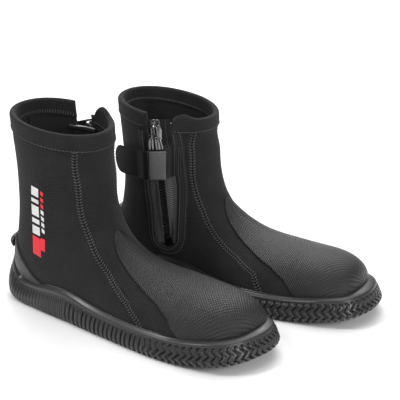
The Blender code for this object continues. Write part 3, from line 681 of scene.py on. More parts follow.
class Look:
    """A procedural material on a Principled BSDF, built from a few node helpers."""

    def __init__(self, name, **sockets):
        self.material = bpy.data.materials.new(name)
        self.material.use_nodes = True
        self.tree = self.material.node_tree
        self.shader = self.tree.nodes["Principled BSDF"]
        for socket, value in sockets.items():
            self.shader.inputs[socket.replace("_", " ")].default_value = value
        space = self.add("ShaderNodeTexCoord")
        self.place = space.outputs["Object"]
        grid = self.add("ShaderNodeUVMap")
        grid.uv_map = "surface"
        parts = self.add("ShaderNodeSeparateXYZ")
        self.tree.links.new(grid.outputs["UV"], parts.inputs[0])
        self.u = parts.outputs["X"]
        self.v = parts.outputs["Y"]

    def add(self, kind):
        return self.tree.nodes.new(kind)

    def put(self, socket, value):
        if isinstance(value, bpy.types.NodeSocket):
            self.tree.links.new(value, socket)
        else:
            socket.default_value = value

    def math(self, operation, first, second=0.0, third=0.0, clamp=False):
        node = self.add("ShaderNodeMath")
        node.operation = operation
        node.use_clamp = clamp
        for socket, value in zip(node.inputs, (first, second, third)):
            self.put(socket, value)
        return node.outputs[0]

    def total(self, *terms):
        """The weighted sum of (value, weight) pairs."""
        value, weight = terms[-1]
        result = self.math("MULTIPLY", value, weight)
        for value, weight in terms[-2::-1]:
            result = self.math("MULTIPLY_ADD", value, weight, result)
        return result

    def wave(self, value, pitch):
        """A sine from 0 to 1 of a length in the value's own unit."""
        turn = self.math("MULTIPLY_ADD", value, 2 * PI / pitch, 0.0)
        return self.math("MULTIPLY_ADD", self.math("SINE", turn), 0.5, 0.5)

    def noise(self, scale, detail=3.0, roughness=0.55):
        """Noise from 0 to 1 in the object's metres."""
        node = self.add("ShaderNodeTexNoise")
        self.put(node.inputs["Vector"], self.place)
        node.inputs["Scale"].default_value = scale
        node.inputs["Detail"].default_value = detail
        node.inputs["Roughness"].default_value = roughness
        return node.outputs["Fac"]

    def knit(self, pitch):
        """Columns of small slanting loops."""
        bend = self.math("MULTIPLY", self.math("PINGPONG", self.v, pitch * 0.5), 1.1)
        loops = self.wave(self.math("ADD", self.u, bend), pitch)
        rows = self.wave(self.v, pitch)
        return self.total((loops, 0.7), (rows, 0.3))

    def diamonds(self, pitch):
        """Small raised points in a diagonal grid."""
        waves = []
        for way in ("ADD", "SUBTRACT"):
            turn = self.math("MULTIPLY", self.math(way, self.u, self.v), PI / pitch)
            waves.append(self.math("ABSOLUTE", self.math("SINE", turn)))
        return self.math("MULTIPLY", *waves)

    def weave(self, pitch):
        """Threads that pass over and under each other."""
        one = self.wave(self.u, pitch)
        two = self.wave(self.v, pitch)
        both = self.math("MULTIPLY", one, two)
        one_less = self.math("SUBTRACT", 1.0, one)
        none = self.math("MULTIPLY", one_less, self.math("SUBTRACT", 1.0, two))
        return self.math("ADD", both, none, clamp=True)

    def herringbone(self, pitch):
        slant = self.math("PINGPONG", self.u, pitch * 1.6)
        return self.wave(self.math("ADD", self.v, slant), pitch)

    def ramp(self, value, low, high, start=0.0, end=1.0):
        """A number that goes from low to high as the value goes from start to end."""
        node = self.add("ShaderNodeMapRange")
        self.put(node.inputs["Value"], value)
        node.inputs["From Min"].default_value = start
        node.inputs["From Max"].default_value = end
        node.inputs["To Min"].default_value = low
        node.inputs["To Max"].default_value = high
        return node.outputs["Result"]

    def mix(self, share, first, second):
        node = self.add("ShaderNodeMix")
        node.data_type = "RGBA"
        self.put(node.inputs["Factor"], share)
        for socket, value in ((node.inputs["A"], first), (node.inputs["B"], second)):
            self.put(socket, (*value, 1.0) if isinstance(value, tuple) else value)
        return node.outputs["Result"]

    def edges(self):
        """1 along worn outer edges, 0 elsewhere."""
        node = self.add("ShaderNodeNewGeometry")
        return self.ramp(node.outputs["Pointiness"], 0.0, 1.0, 0.51, 0.58)

    def bump(self, height, distance):
        node = self.add("ShaderNodeBump")
        node.inputs["Strength"].default_value = 1.0
        node.inputs["Distance"].default_value = distance * MM
        self.put(node.inputs["Height"], height)
        return node

    def finish(self, colour, roughness, *bumps):
        self.put(self.shader.inputs["Base Color"], colour)
        self.put(self.shader.inputs["Roughness"], roughness)
        before = None
        for bump in bumps:
            if before:
                self.tree.links.new(before.outputs[0], bump.inputs["Normal"])
            before = bump
        if before:
            self.tree.links.new(before.outputs[0], self.shader.inputs["Normal"])
        return self.material


def grey(value):
    return (value, value, value * 1.03)


def fabric_look(name, dark, light, pitch, bump, kind="knit", sheen=0.06, speckle=620.0):
    """A fabric whose recesses are darkened as painted shade, and whose broad patches are darker."""
    look = Look(name, Sheen_Weight=sheen, Sheen_Roughness=0.5, Specular_IOR_Level=0.14)
    pattern = {"knit": look.knit, "weave": look.weave}[kind](pitch)
    patches = look.noise(38.0, 4.0)
    grain = look.noise(speckle, 2.0, 0.7)
    # the knit or weave pattern darkens its own recesses as painted shade; the patches and the grain are
    # the cloth's own uneven tone
    share = look.total((pattern, 0.45), (patches, 0.35), (grain, 0.35))
    colour = look.mix(look.ramp(share, 0.0, 1.0, 0.35, 0.8), grey(dark), grey(light))
    rough = look.ramp(patches, 0.78, 0.92)
    return look.finish(colour, rough, look.bump(pattern, bump), look.bump(grain, bump * 0.8))


def tape_look():
    """Herringbone tape, with painted shade where it lies beside the slider at its top."""
    look = Look("zip_tape_herringbone", Sheen_Weight=0.06, Specular_IOR_Level=0.14)
    pattern = look.herringbone(2.4)
    grain = look.noise(620.0, 2.0, 0.7)
    share = look.total((pattern, 0.7), (grain, 0.3))
    # painted shade: the tape's colour is cut to under a tenth within about 24 to 36 mm of its top,
    # beside the slider
    share = look.math("MULTIPLY", share, look.ramp(look.v, 0.08, 1.0, 24.0, 36.0))
    colour = look.mix(share, grey(0.007), grey(0.15))
    rough = look.ramp(grain, 0.7, 0.92)
    return look.finish(colour, rough, look.bump(pattern, 0.35), look.bump(grain, 0.2))


def rubber_look(name, dark, light, rough, grain_scale=900.0, bump=0.05, coat=0.0, wear=0.0):
    look = Look(name, Specular_IOR_Level=0.5, Coat_Weight=coat, Coat_Roughness=0.3)
    patches = look.noise(30.0, 5.0)
    grain = look.noise(grain_scale, 3.0)
    colour = look.mix(patches, grey(dark), grey(light))
    if wear:
        colour = look.mix(look.math("MULTIPLY", look.edges(), wear), colour, grey(light * 2.6))
    roughness = look.ramp(patches, rough - 0.08, rough + 0.1, 0.3, 0.7)
    return look.finish(colour, roughness, look.bump(grain, bump))


def vamp_look():
    """Rubber with small raised diamonds, the points painted lighter as painted highlight and the gaps
    darker.
    """
    look = Look("vamp_rubber", Specular_IOR_Level=0.42, Coat_Weight=0.08, Coat_Roughness=0.4)
    points = look.diamonds(3.3)
    patches = look.noise(26.0, 4.0)
    # the raised points are painted lighter than the gaps as painted highlight; the patches are the
    # rubber's own uneven tone
    share = look.total((points, 0.7), (patches, 0.3))
    colour = look.mix(look.ramp(share, 0.0, 1.0, 0.3, 0.75), grey(0.0015), grey(0.017))
    rough = look.ramp(points, 0.66, 0.22)
    return look.finish(colour, rough, look.bump(points, 0.45), look.bump(look.noise(1500.0, 2.0), 0.03))


def metal_look():
    look = Look("slider_black_metal", Metallic=1.0)
    patches = look.noise(420.0, 4.0)
    colour = look.mix(patches, grey(0.12), grey(0.27))
    colour = look.mix(look.math("MULTIPLY", look.edges(), 0.5), colour, grey(0.4))
    return look.finish(colour, look.ramp(patches, 0.16, 0.34), look.bump(look.noise(2500.0, 2.0), 0.02))


def hook_look(name, pitch):
    look = Look(name, Specular_IOR_Level=0.2, Sheen_Weight=0.15)
    pattern = look.diamonds(pitch)
    pile = look.noise(1300.0, 2.0, 0.8)
    colour = look.mix(pile, grey(0.008), grey(0.03))
    rough = look.ramp(pile, 0.8, 0.95)
    return look.finish(colour, rough, look.bump(pattern, 0.3), look.bump(pile, 0.25))


def print_look(name, colour, worn):
    """Flat ink on knitted fabric, slightly cracked."""
    look = Look(name, Specular_IOR_Level=0.3)
    cracks = look.noise(900.0, 4.0, 0.7)
    share = look.ramp(cracks, 1.0, 0.0, 0.30, 0.44)
    knit = look.wave(look.v, 1.1)
    return look.finish(look.mix(share, colour, worn), look.ramp(cracks, 0.5, 0.7), look.bump(knit, 0.06))


def foam_look(name, colour, dark):
    look = Look(name, Specular_IOR_Level=0.3)
    cells = look.noise(1100.0, 3.0, 0.7)
    return look.finish(look.mix(cells, dark, colour), look.ramp(cells, 0.7, 0.9), look.bump(cells, 0.2))


def make_looks():
    return {
        "jersey": fabric_look("neoprene_jersey", 0.005, 0.027, 1.9, 0.25),
        "collar": fabric_look("collar_jersey", 0.005, 0.028, 1.9, 0.25),
        "lining": fabric_look("gusset_jersey", 0.003, 0.014, 1.4, 0.12),
        "flap": fabric_look("flap_jersey", 0.006, 0.032, 1.9, 0.25),
        "tape": tape_look(),
        "strap": fabric_look("strap_elastic", 0.07, 0.19, 1.6, 0.2, "weave", 0.1),
        "strap_dark": fabric_look("strap_loop_cloth", 0.002, 0.008, 1.6, 0.14, "weave", 0.05),
        "webbing": fabric_look("binding_webbing", 0.02, 0.07, 1.2, 0.2, "weave", 0.2),
        "thread": fabric_look("sewing_thread", 0.035, 0.12, 0.7, 0.1, "knit", 0.08, 1500.0),
        "vamp": vamp_look(),
        "counter": rubber_look("counter_rubber", 0.013, 0.026, 0.5, 1300.0, 0.05),
        "outsole": rubber_look("outsole_rubber", 0.009, 0.02, 0.36, 1000.0, 0.06, 0.15, 0.4),
        "bead": rubber_look("glossy_bead", 0.015, 0.03, 0.2, 1600.0, 0.02, 0.5),
        "teeth": rubber_look("zip_teeth", 0.005, 0.010, 0.25, 1600.0, 0.02, 0.2, 0.2),
        "metal": metal_look(),
        "hooks": hook_look("hook_tape", 1.4),
        "loops": hook_look("loop_patch", 2.2),
        "white": print_look("white_print", (0.72, 0.72, 0.72), (0.2, 0.2, 0.2)),
        "red": print_look("red_print", (0.75, 0.03, 0.045), (0.2, 0.02, 0.02)),
        "foam": foam_look("insole_foam", (0.10, 0.10, 0.10), (0.03, 0.03, 0.03)),
        "midsole": foam_look("midsole_foam", (0.14, 0.14, 0.14), (0.06, 0.06, 0.06)),
        "board": foam_look("lasting_board", (0.30, 0.27, 0.22), (0.16, 0.14, 0.11)),
    }


# ---------------------------------------------------------------- the neoprene upper

def zip_edge(boot, side):
    """The edge of an inner quarter along the zip, and along the short seam below it."""
    heights = np.linspace(ZIP_SEAM_FOOT_Z, 192.0, 60)
    half = (ZIP_OPENING + 1.5) * smooth_step((heights - ZIP_SEAM_FOOT_Z) / 5.0) + 0.15
    angles, places = boot.by_zip(side * half, heights)
    places = np.concatenate([[places[0] - 0.5], places])
    angles = np.concatenate([[math.radians(-SOLE_LINE + 1 + side * 0.4)], angles])
    return lambda place: np.interp(place, places, angles)


def heel_edge(sign):
    def edge(place):
        turn = smooth_step((place - 8.9) / 0.4)
        return sign * np.radians(SOLE_LINE + (179.8 - SOLE_LINE) * turn)
    return edge


def drape(points):
    """Soft unevenness of a foam boot, less than a millimetre."""
    x, y, z = np.moveaxis(points, -1, 0)
    swell = np.sin(x / 17.0 + z / 23.0) * np.sin(z / 14.0 - x / 31.0 + 1.3)
    crease = np.sin(z / 5.5 + x / 9.0) * np.exp(-((z - 92) / 16) ** 2 - ((x - 108) / 20) ** 2)
    push = 0.35 * swell + 0.35 * crease
    outward = unit(np.stack([0 * x, y, 0 * z], -1))
    return points + outward * push[..., None]


def upper_panel(boot, name, start, end, first, width):
    """A panel between two edge functions, from a section number up to the collar band."""
    turning = 10.0
    rows = shares((RIM - first) * 26.0)[:, None]
    across = shares(width)[None, :]
    raw = first + (RIM - first) * rows * np.ones_like(across)
    place = raw
    for _ in range(10):
        angle = start(place) + (end(place) - start(place)) * across
        top = band_edge(angle) + 0.25
        upper = turning + (top - turning) * (raw - turning) / (RIM - turning)
        place = np.where(raw > turning, upper, raw)
    lay_sheet(boot, name, angle, place, 0.0, -NEOPRENE, "jersey", (1.0, 1.0, 0.5, 0.5), drape,
              slot="neoprene", weld=first < 1)


def make_upper(boot):
    def outer_seam(place):
        return seam(OUTER_SEAM, place)

    def inner_seam(place):
        return seam(INNER_SEAM, place)

    upper_panel(boot, "front_panel", inner_seam, outer_seam, 0.02, 170)
    upper_panel(boot, "outer_quarter", outer_seam, heel_edge(1), 4.6, 110)
    upper_panel(boot, "inner_rear_quarter", heel_edge(-1), zip_edge(boot, -1), 7.6, 70)
    upper_panel(boot, "inner_front_quarter", zip_edge(boot, 1), inner_seam, 4.6, 60)
    rows = []
    for pairs, first in ((OUTER_SEAM, 4.75), (INNER_SEAM, 4.72)):
        place = np.linspace(first, 12.6, 400)
        angle = seam(pairs, place)
        keep = place < band_edge(angle)
        rows.append(flat_seam(skin_line(boot, angle[keep], place[keep], 0.05, SEAM_PITCH)))
    place = np.linspace(9.2, 12.6, 200)
    rows.append(flat_seam(skin_line(boot, PI + 0 * place, place, 0.05, SEAM_PITCH)))
    sew(boot, "panel_seams", rows, "thread", SEAM_THREAD, 0.45)


def collar_grid(boot, rows):
    """Angles and sections of the collar band, and the distance from its front end in mm."""
    def edge(place, side, flare):
        x = boot.zip_x(NOTCH_Z) + side * NOTCH_HALF + side * flare * smooth_step(place - 12.0)
        return boot.skin.beside(x, NOTCH_Z + 0 * place)[0]

    across = shares(COLLAR_LENGTH, edge=3.0, rounds=6)[None, :]
    upward = rows[:, None]
    place = RIM - (1 - upward) * np.ones_like(across)
    for _ in range(10):
        front = edge(place, 1, NOTCH_FLARE_FRONT)
        rear = edge(place, -1, NOTCH_FLARE_REAR) + 2 * PI
        angle = front + (rear - front) * across
        reach = (angle - angle[:, :1]) * 46.0
        from_corner = COLLAR_CORNER - np.clip(reach, 0, COLLAR_CORNER)
        drop = COLLAR_CORNER - np.sqrt(np.clip(COLLAR_CORNER**2 - from_corner**2, 0, None))
        low = band_edge(angle)
        high = RIM - 0.001 - drop / 30.0
        place = low + (high - low) * upward
    return angle, place, reach


def make_collar(boot):
    """The folded band round the top edge, with its rolled rim and its stitching."""
    angle, place, reach = collar_grid(boot, shares(COLLAR_HEIGHT, 1.2, 3.1, 7))
    share = np.linspace(0, 1, len(place))[:, None]
    peak = COLLAR_PEAK * share**2 * np.exp(-((reach - COLLAR_PEAK_AT) / 8.0) ** 2)

    def raise_peak(points):
        points = points.copy()
        points[..., 2] += peak
        return points

    lay_sheet(boot, "collar_band", angle, place, COLLAR_PROUD, -COLLAR_INSIDE, "collar",
              (2.6, 2.6, 0.9, 3.1), raise_peak, slot="neoprene")
    around = np.linspace(angle[0, 0] + 0.06, angle[0, -1] - 0.05, 500)
    low = band_edge(around) + 0.06
    rows = [running_stitches(skin_line(boot, around, low, COLLAR_PROUD + 0.05, 3.6), 2.6)]
    inside = skin_line(boot, around[::-1], low[::-1] + 0.03, -COLLAR_INSIDE - 0.05, 2.6)
    points, normals, ahead, across = inside
    rows.append(flat_seam((points, -normals, ahead, across), 1.7, 1.2))
    sew(boot, "collar_stitches", rows, "thread", 0.42, 0.36)


# ---------------------------------------------------------------- rubber overlays

def make_vamp(boot):
    """The rubber cap over the toes, which runs to a point on the instep."""
    rows = shares(210.0, edge=1.2)[:, None]
    across = shares(150.0, edge=1.2)[None, :]
    place = VAMP_LAST * rows * np.ones_like(across)
    half = seam(VAMP_EDGE, place)
    angle = half * (2 * across - 1)
    lay_sheet(boot, "toe_vamp", angle, place, VAMP_OUT, -0.6, "vamp", (1.1, 1.1, 0, 1.1),
              slot="printed_rubber", weld=True)


def make_heel_counter(boot):
    across = shares(150.0, edge=1.0)[None, :]

    def cup(name, low, high, trim, out, into, radii, look, swell=0.0):
        z = low + (high - low) * shares(high - low, 1.0, 0.9)[:, None]
        edge = boot.skin.beside(knots(COUNTER_FRONT, z), z, False)[0]
        edge = edge + (PI - edge) * trim
        angle = edge + (2 * PI - 2 * edge) * across
        out = out + swell * np.sin(PI * np.clip((z - low) / (high - low), 0, 1))
        lay_sheet(boot, name, angle, boot.skin.level(angle, z), out + 0 * angle, into + 0 * angle,
                  look, radii, slot="printed_rubber")

    cup("heel_counter", COUNTER_LOW, COUNTER_HIGH, 0.0, 2.4, -0.5, (1.0, 1.0, 0.5, 1.2), "counter")
    cup("heel_ledge", LEDGE_LOW, LEDGE_HIGH, 0.3, 5.2, 1.6, (6.0, 6.0, 3.0, 1.6), "outsole", 2.6)


# ---------------------------------------------------------------- the sole

def shoulder(boot, rim, inward, height):
    """Where a level line from each wall column meets the boot's skin."""
    turns = np.linspace(0, 2 * PI, 181)[:-1]
    place, angle = np.meshgrid(np.linspace(0.0, 10.5, 150), turns, indexing="ij")
    points = boot.skin.lifted(angle, place, np.full(angle.shape, 0.3)).reshape(-1, 3)
    tree = BVHTree.FromPolygons(points.tolist(), round_quads(*place.shape).tolist())
    distance = np.zeros(len(rim))
    for number, (x, y) in enumerate(rim):
        way = Vector((inward[number, 0], inward[number, 1], 0.0))
        hit = tree.ray_cast(Vector((x, y, height[number])), way, 60.0)
        distance[number] = hit[3] if hit[0] is not None else np.nan
    known = ~np.isnan(distance)
    numbers = np.arange(len(rim))
    return np.interp(numbers, numbers[known], distance[known], period=len(rim))


def soften(values, width):
    """A running mean round a closed loop."""
    kernel = np.hanning(width)
    kernel = kernel / kernel.sum()
    padded = np.concatenate([values[-width:], values, values[:width]])
    return np.convolve(padded, kernel, "same")[width:-width]


def wall_ribs(rim):
    """For each wall column: where it is in its rib, how deep the grooves are and their zigzag."""
    x = rim[:, 0]
    step = np.linalg.norm(np.roll(rim, -1, 0) - rim, axis=1)
    stretches = (x < HEEL_RIBS_END, x < ARCH_RIBS_END, x < SIDE_RIBS_END)
    pitch = soften(np.select(stretches, RIB_PITCHES, TOE_RIB_PITCH), 25)
    count = step / pitch
    phase = np.cumsum(count) - count[0]
    phase = phase * round(count.sum()) / count.sum()
    depth = soften(np.select(stretches, RIB_DEPTHS, TOE_RIB_DEPTH), 31)
    zigzag = smooth_step((x - 185) / 35)
    return phase, depth, zigzag


def ring_cap(start, count):
    """Faces across a closed ring of points, from one half of it to the other."""
    faces = []
    for col in range(count // 2):
        corners = (col, col + 1, (count - col - 1) % count, (count - col) % count)
        face = list(dict.fromkeys(start + corner for corner in corners))
        if len(face) > 2:
            faces.append(face)
    return faces


def make_outsole(boot):
    """The moulded sole: ribbed wall, scalloped lower edge, toe bumper and a shoulder to the skin."""
    rim = closed_outline(OUTSOLE_COLUMNS)
    tangent = np.roll(rim, -3, 0) - np.roll(rim, 3, 0)
    inward = unit(np.stack([-tangent[:, 1], tangent[:, 0]], -1))
    phase, depth, zigzag = wall_ribs(rim)
    low = ground(rim[:, 0])
    top = wall_top(rim[:, 0])
    levels = []
    reach = shoulder(boot, rim, inward, top + 1.0)
    reach = soften(np.maximum(reach, 4.2), 61)
    lean = np.maximum(reach - 5.4, 0.0) * (0.95 - 0.45 * smooth_step((rim[:, 0] - 215) / 50))

    def ring(inset, height, share=1.0):
        inset = inset + lean * share ** 1.5
        line = rim + inward * np.asarray(inset).reshape(-1, 1)
        levels.append(np.column_stack([line, height + 0 * line[:, 0]]))

    def groove(share):
        swing = np.abs(((share * 2.4 + 0.25) % 1.0) * 2 - 1) - 0.5
        cell = (phase + zigzag * 0.75 * swing) % 1.0 - 0.5
        return smooth_step((np.abs(cell) - 0.24) / 0.15)

    floor = low + LUG_HEIGHT
    ring(9.0, floor, 0.0)
    ring(6.4, floor, 0.0)
    scallop = SCALLOP * groove(0.0) * np.clip(depth / 2.2, 0.35, 1)
    for share in np.concatenate([np.linspace(0, 0.12, 5), np.linspace(0.16, 0.82, 19)]):
        fade = 1 - smooth_step((share - 0.70 - 0.06 * zigzag) / 0.12)
        cut = depth * groove(share) * fade
        bulge = 0.5 * zigzag * np.sin(share * 9) * fade
        height = low + (top - low) * share
        height = height + scallop * (1 - smooth_step(share / 0.3))
        ring(knots(WALL_PROFILE, share) + cut - bulge, height, share)
    for share, inset in LIP_PROFILE:
        ring(inset, low + (top - low) * share, share)
    for share in (0.25, 0.5, 0.75, 1.0):
        rise = 1.6 * math.sin(share * PI / 2)
        ring(LIP_INSET + (reach - lean - LIP_INSET) * share, top + rise)
    ring(reach + 1.8, top + 1.0, 0.0)
    ring(reach + 1.8, np.maximum(top - 6.0, 16.0), 0.0)
    ring(reach + 3.0, 9.0 + low * 0.6, 0.0)
    rings = len(levels)
    count = OUTSOLE_COLUMNS
    verts = np.concatenate(levels)
    faces = round_quads(rings, count).tolist()
    faces += [face[::-1] for face in ring_cap(0, count)] + ring_cap((rings - 1) * count, count)
    make_piece(boot, "outsole_wall", verts, faces, "outsole", instead_of=["outsole"],
               slot="outsole_rubber", sharp=60.0)
    make_bead(boot, rim, inward, reach, top)
    make_tread(boot)


def make_bead(boot, rim, inward, reach, top):
    """The thin glossy bead where the wall meets the fabric, along both sides."""
    parts = []
    half = OUTSOLE_COLUMNS // 2
    for columns in (np.arange(0, half), np.arange(half, OUTSOLE_COLUMNS)[::-1]):
        columns = columns[(rim[columns, 0] > HEEL_RIBS_END) & (rim[columns, 0] < 214)][::4]
        line = rim[columns] + inward[columns] * (reach[columns] - 0.6)[:, None]
        points = np.column_stack([line, top[columns] + 1.9])
        side = 1.0 if points[0, 1] > 0 else -1.0
        size = np.sin(np.linspace(0.12, PI - 0.12, len(points))) ** 0.3
        verts, faces = sweep(points, (0.0, side * 0.6, 0.8), rounded(BEAD_WIDTH, BEAD_WIDTH, 0.8))
        verts = verts.reshape(len(points), -1, 3)
        verts = points[:, None] + (verts - points[:, None]) * size[:, None, None]
        parts.append((verts.reshape(-1, 3), faces if side > 0 else [face[::-1] for face in faces]))
    for number, (verts, faces) in enumerate(parts):
        word = ("outer", "inner")[number]
        make_piece(boot, "sole_bead_" + word, verts, faces, "bead", instead_of=(), slot="outsole_rubber")


def make_tread(boot):
    """Wavy bars across the bottom of the sole."""
    rim = closed_outline(420)
    parts = []
    for x in np.arange(4.0, 284.0, TREAD_PITCH):
        crossing = np.flatnonzero((rim[:, 0] - x) * (np.roll(rim[:, 0], -1) - x) <= 0)
        low = rim[crossing, 1].min() + TREAD_MARGIN
        high = rim[crossing, 1].max() - TREAD_MARGIN
        if high - low < 12:
            continue
        y = np.linspace(low, high, 40)
        z = ground(x + 0 * y) + LUG_HEIGHT / 2 + 0.25
        points = np.column_stack([x + 2.2 * np.sin(y / 3.4), y, z])
        parts.append(sweep(points, (0.0, 0.0, 1.0), rounded(3.4, LUG_HEIGHT + 0.5, 0.7, 2)))
    make_piece(boot, "outsole_tread", *together(parts), "outsole", instead_of=(), slot="outsole_rubber")


def make_footbed(boot):
    """The layers under the foot."""
    def layer(name, margin, first, last, out, into, look, slot):
        place = (first + (last - first) * shares(220.0, 3.0))[:, None]
        edge = math.radians(SOLE_LINE + margin)
        angle = (edge + (2 * PI - 2 * edge) * shares(80.0, 3.0))[None, :]
        return lay_sheet(boot, name, angle, place, np.full((1, 1), out), np.full((1, 1), into), look,
                         slot=slot)

    layer("sole_panel", 1.2, 0.8, 8.65, 0.0, -NEOPRENE, "lining", "neoprene")
    layer("midsole", 10.0, 1.5, 8.0, 3.3, 0.3, "midsole", "foam")
    layer("lasting_board", 10.0, 1.5, 8.0, -NEOPRENE - 0.3, -NEOPRENE - 1.8, "board", "board")
    insole = layer("insole", 10.0, 1.5, 8.0, -NEOPRENE - 2.1, -NEOPRENE - 5.0, "foam", "foam")


# ---------------------------------------------------------------- the zip

class ZipFrame:
    """A straight frame along the zip: t runs down it, a across it to the front, n outward."""

    def __init__(self, boot):
        heights = np.array([ZIP_TOP_Z - ZIP_TRAVEL, ZIP_TOP_Z])
        angle, place = boot.by_zip(0.0, heights)
        low, high = boot.skin.point(angle, place)
        self.origin = high
        self.down = unit(low - high)
        face = unit(boot.skin.normal(angle, place).mean(0))
        self.out = unit(face - self.down * (face @ self.down))
        self.across = np.cross(self.down, self.out)
        if self.across[0] < 0:
            self.across = -self.across

    def at(self, t, a, n, curved=False):
        t, a, n = np.broadcast_arrays(*(np.asarray(value, float) for value in (t, a, n)))
        fall = a**2 / (2 * ZIP_CURVE_RADIUS) if curved else 0.0
        return (self.origin + t[..., None] * self.down + a[..., None] * self.across
                + (n - fall)[..., None] * self.out)


def pebble(frame, t, a, n, size, power=0.55, rows=7, cols=12):
    """A small box with soft edges, as a stretched sphere."""
    tilt = np.linspace(0.04, PI - 0.04, rows)[:, None]
    turn = np.linspace(0, 2 * PI, cols, endpoint=False)[None, :]
    one = signed_power(np.sin(tilt), power) * signed_power(np.cos(turn), power)
    two = signed_power(np.sin(tilt), power) * signed_power(np.sin(turn), power)
    three = signed_power(np.cos(tilt), power) + 0 * turn
    rings = frame.at(t + one * size[0] / 2, a + two * size[1] / 2, n + three * size[2] / 2)
    return loft(rings)


def make_teeth(boot, frame):
    """The single teeth, the cord beside each row, and the stops at both ends."""
    foot = SLIDER_HALF + ZIP_TRAVEL
    for side, word in ((1, "front"), (-1, "rear")):
        parts = []
        shift = 0.0 if side > 0 else TOOTH_PITCH / 2
        for t in np.arange(TEETH_TOP + shift, foot - 0.6, TOOTH_PITCH):
            parts.append(pebble(frame, t, side * 2.7, TEETH_LEVEL, (1.9, 2.6, 2.5)))
            parts.append(pebble(frame, t, side * 0.9, TEETH_LEVEL, (1.35, 2.0, 2.1), 0.8))
        make_piece(boot, "zip_teeth_" + word, *together(parts), "teeth", slot="zip_plastic")
        cord = frame.at(np.linspace(CORD_TOP, foot + 4, 60), side * 4.3, 2.3)
        make_piece(boot, "zip_cord_" + word, *sweep(cord, frame.out, rounded(1.4, 1.4, 0.69)),
                   "thread", instead_of=(), slot="webbing")
    stops = (pebble(frame, STOP_TOP, side * 1.9, TEETH_LEVEL, (2.4, 3.6, 3.0)) for side in (-1, 1))
    bar = pebble(frame, foot + 2.4, 0.0, TEETH_LEVEL, (3.5, 7.4, 3.0), 0.4, 11, 24)
    for name, shape in (("zip_top_stop", together(stops)), ("zip_bottom_stop", bar)):
        make_piece(boot, name, *shape, "teeth", slot="zip_plastic")


def make_tapes(boot, frame):
    """Woven tapes: straight beside the teeth, and following the skin further out."""
    ends = (TAPE_TOP, SLIDER_HALF + ZIP_TRAVEL + 10.0)
    rows = []
    for side, word in ((1, "front"), (-1, "rear")):
        down = shares(ends[1] - ends[0], 1.6, 0.4, 3)[:, None]
        t = ends[0] + (ends[1] - ends[0]) * down
        a = side * (TAPE_INNER + TAPE_WIDTH * shares(TAPE_WIDTH, 1.0, 0.4, 3)[None, :])
        t, a = np.broadcast_arrays(t, a)
        flat = frame.at(t, a, 0.0, True)
        angle, place = boot.skin.beside(flat[..., 0], flat[..., 2])
        share = smooth_step((np.abs(a) - 6.0) / 2.5)[..., None]
        rounding, along, up = border_rounding(flat, 0.4)
        layers = []
        for way in (1, -1):
            thick = way * TAPE_HALF_THICK * rounding
            straight = frame.at(t, a, TEETH_LEVEL + thick, True)
            laid = boot.skin.lifted(angle, place, TAPE_LIFT + thick)
            layers.append(straight * (1 - share) + laid * share)
        grid_piece(boot, "zip_tape_" + word, *layers, along, up, "tape", slot="webbing")
        t_line = np.linspace(-10, ends[1] - 4, 120)
        flat = frame.at(t_line, side * 9.6, 0.0, True)
        angle, place = boot.skin.beside(flat[:, 0], flat[:, 2])
        rows.append(running_stitches(skin_line(boot, angle, place, 2.05, 3.1), 2.2))
    sew(boot, "tape_stitches", rows, "thread", 0.26, 0.2)


def slider_plate(frame, n_low, n_high, crown, widest):
    """One shield-shaped plate of the slider, wide at the top and waisted at the bottom."""
    rings = []
    for n, shrink in ((n_low, 0.7), (n_low + 0.25, 0.15), ((n_low + n_high) / 2, 0.0),
                      (n_high - 0.25, 0.15), (n_high, 0.75)):
        turn = np.linspace(0, 2 * PI, 48, endpoint=False)
        along = signed_power(np.cos(turn), 0.55)
        wide = signed_power(np.sin(turn), 0.62)
        half = widest - 1.4 * smooth_step((along + 0.2) / 1.1) - 0.5 * np.exp(-(along / 0.25) ** 2)
        t = SLIDER_MIDDLE + along * (SLIDER_SHORT - shrink)
        a = wide * (half - shrink)
        rise = crown * (1 - (a / widest) ** 2) * (1 - along ** 2)
        rings.append(frame.at(t, a, n + rise * (n > (n_low + n_high) / 2)))
    return loft(rings)


def make_slider(boot, frame):
    """The slider's two plates, side flanges, wedge and bridge, and the ribbed puller."""
    flange = rounded(1.3, 1.4, 0.4)
    parts = [slider_plate(frame, 4.3, 5.8, 0.5, SLIDER_TOP_HALF),
             slider_plate(frame, -1.4, 0.2, 0.0, SLIDER_BACK_HALF)]
    line = SLIDER_MIDDLE + SLIDER_SHORT * np.linspace(-0.86, 0.86, 20)
    for side in (-1, 1):
        half = 5.4 - 1.2 * smooth_step(((line - SLIDER_MIDDLE) / SLIDER_SHORT + 0.2) / 1.1)
        for n in (3.4, 0.6):
            parts.append(sweep(frame.at(line, side * half, n), frame.out, flange))
    parts.append(pebble(frame, SLIDER_MIDDLE - SLIDER_SHORT + 3.0, 0.0, 2.0, (3.6, 1.3, 4.2), 0.5))
    arch = np.linspace(0, PI, 18)
    rise = BRIDGE_RISE * np.sin(arch) ** 0.7
    points = frame.at(BRIDGE_MIDDLE - BRIDGE_REACH * np.cos(arch), 0.0, 5.0 + rise)
    normals = unit(points - frame.at(BRIDGE_MIDDLE, 0.0, 5.0))
    parts.append(sweep(points, normals, rounded(2.0, 1.2, 0.4)))
    make_piece(boot, "zip_slider", *together(parts), "metal", body="slider",
               slot="slider_metal", sharp=35.0)
    make_puller(boot, frame)


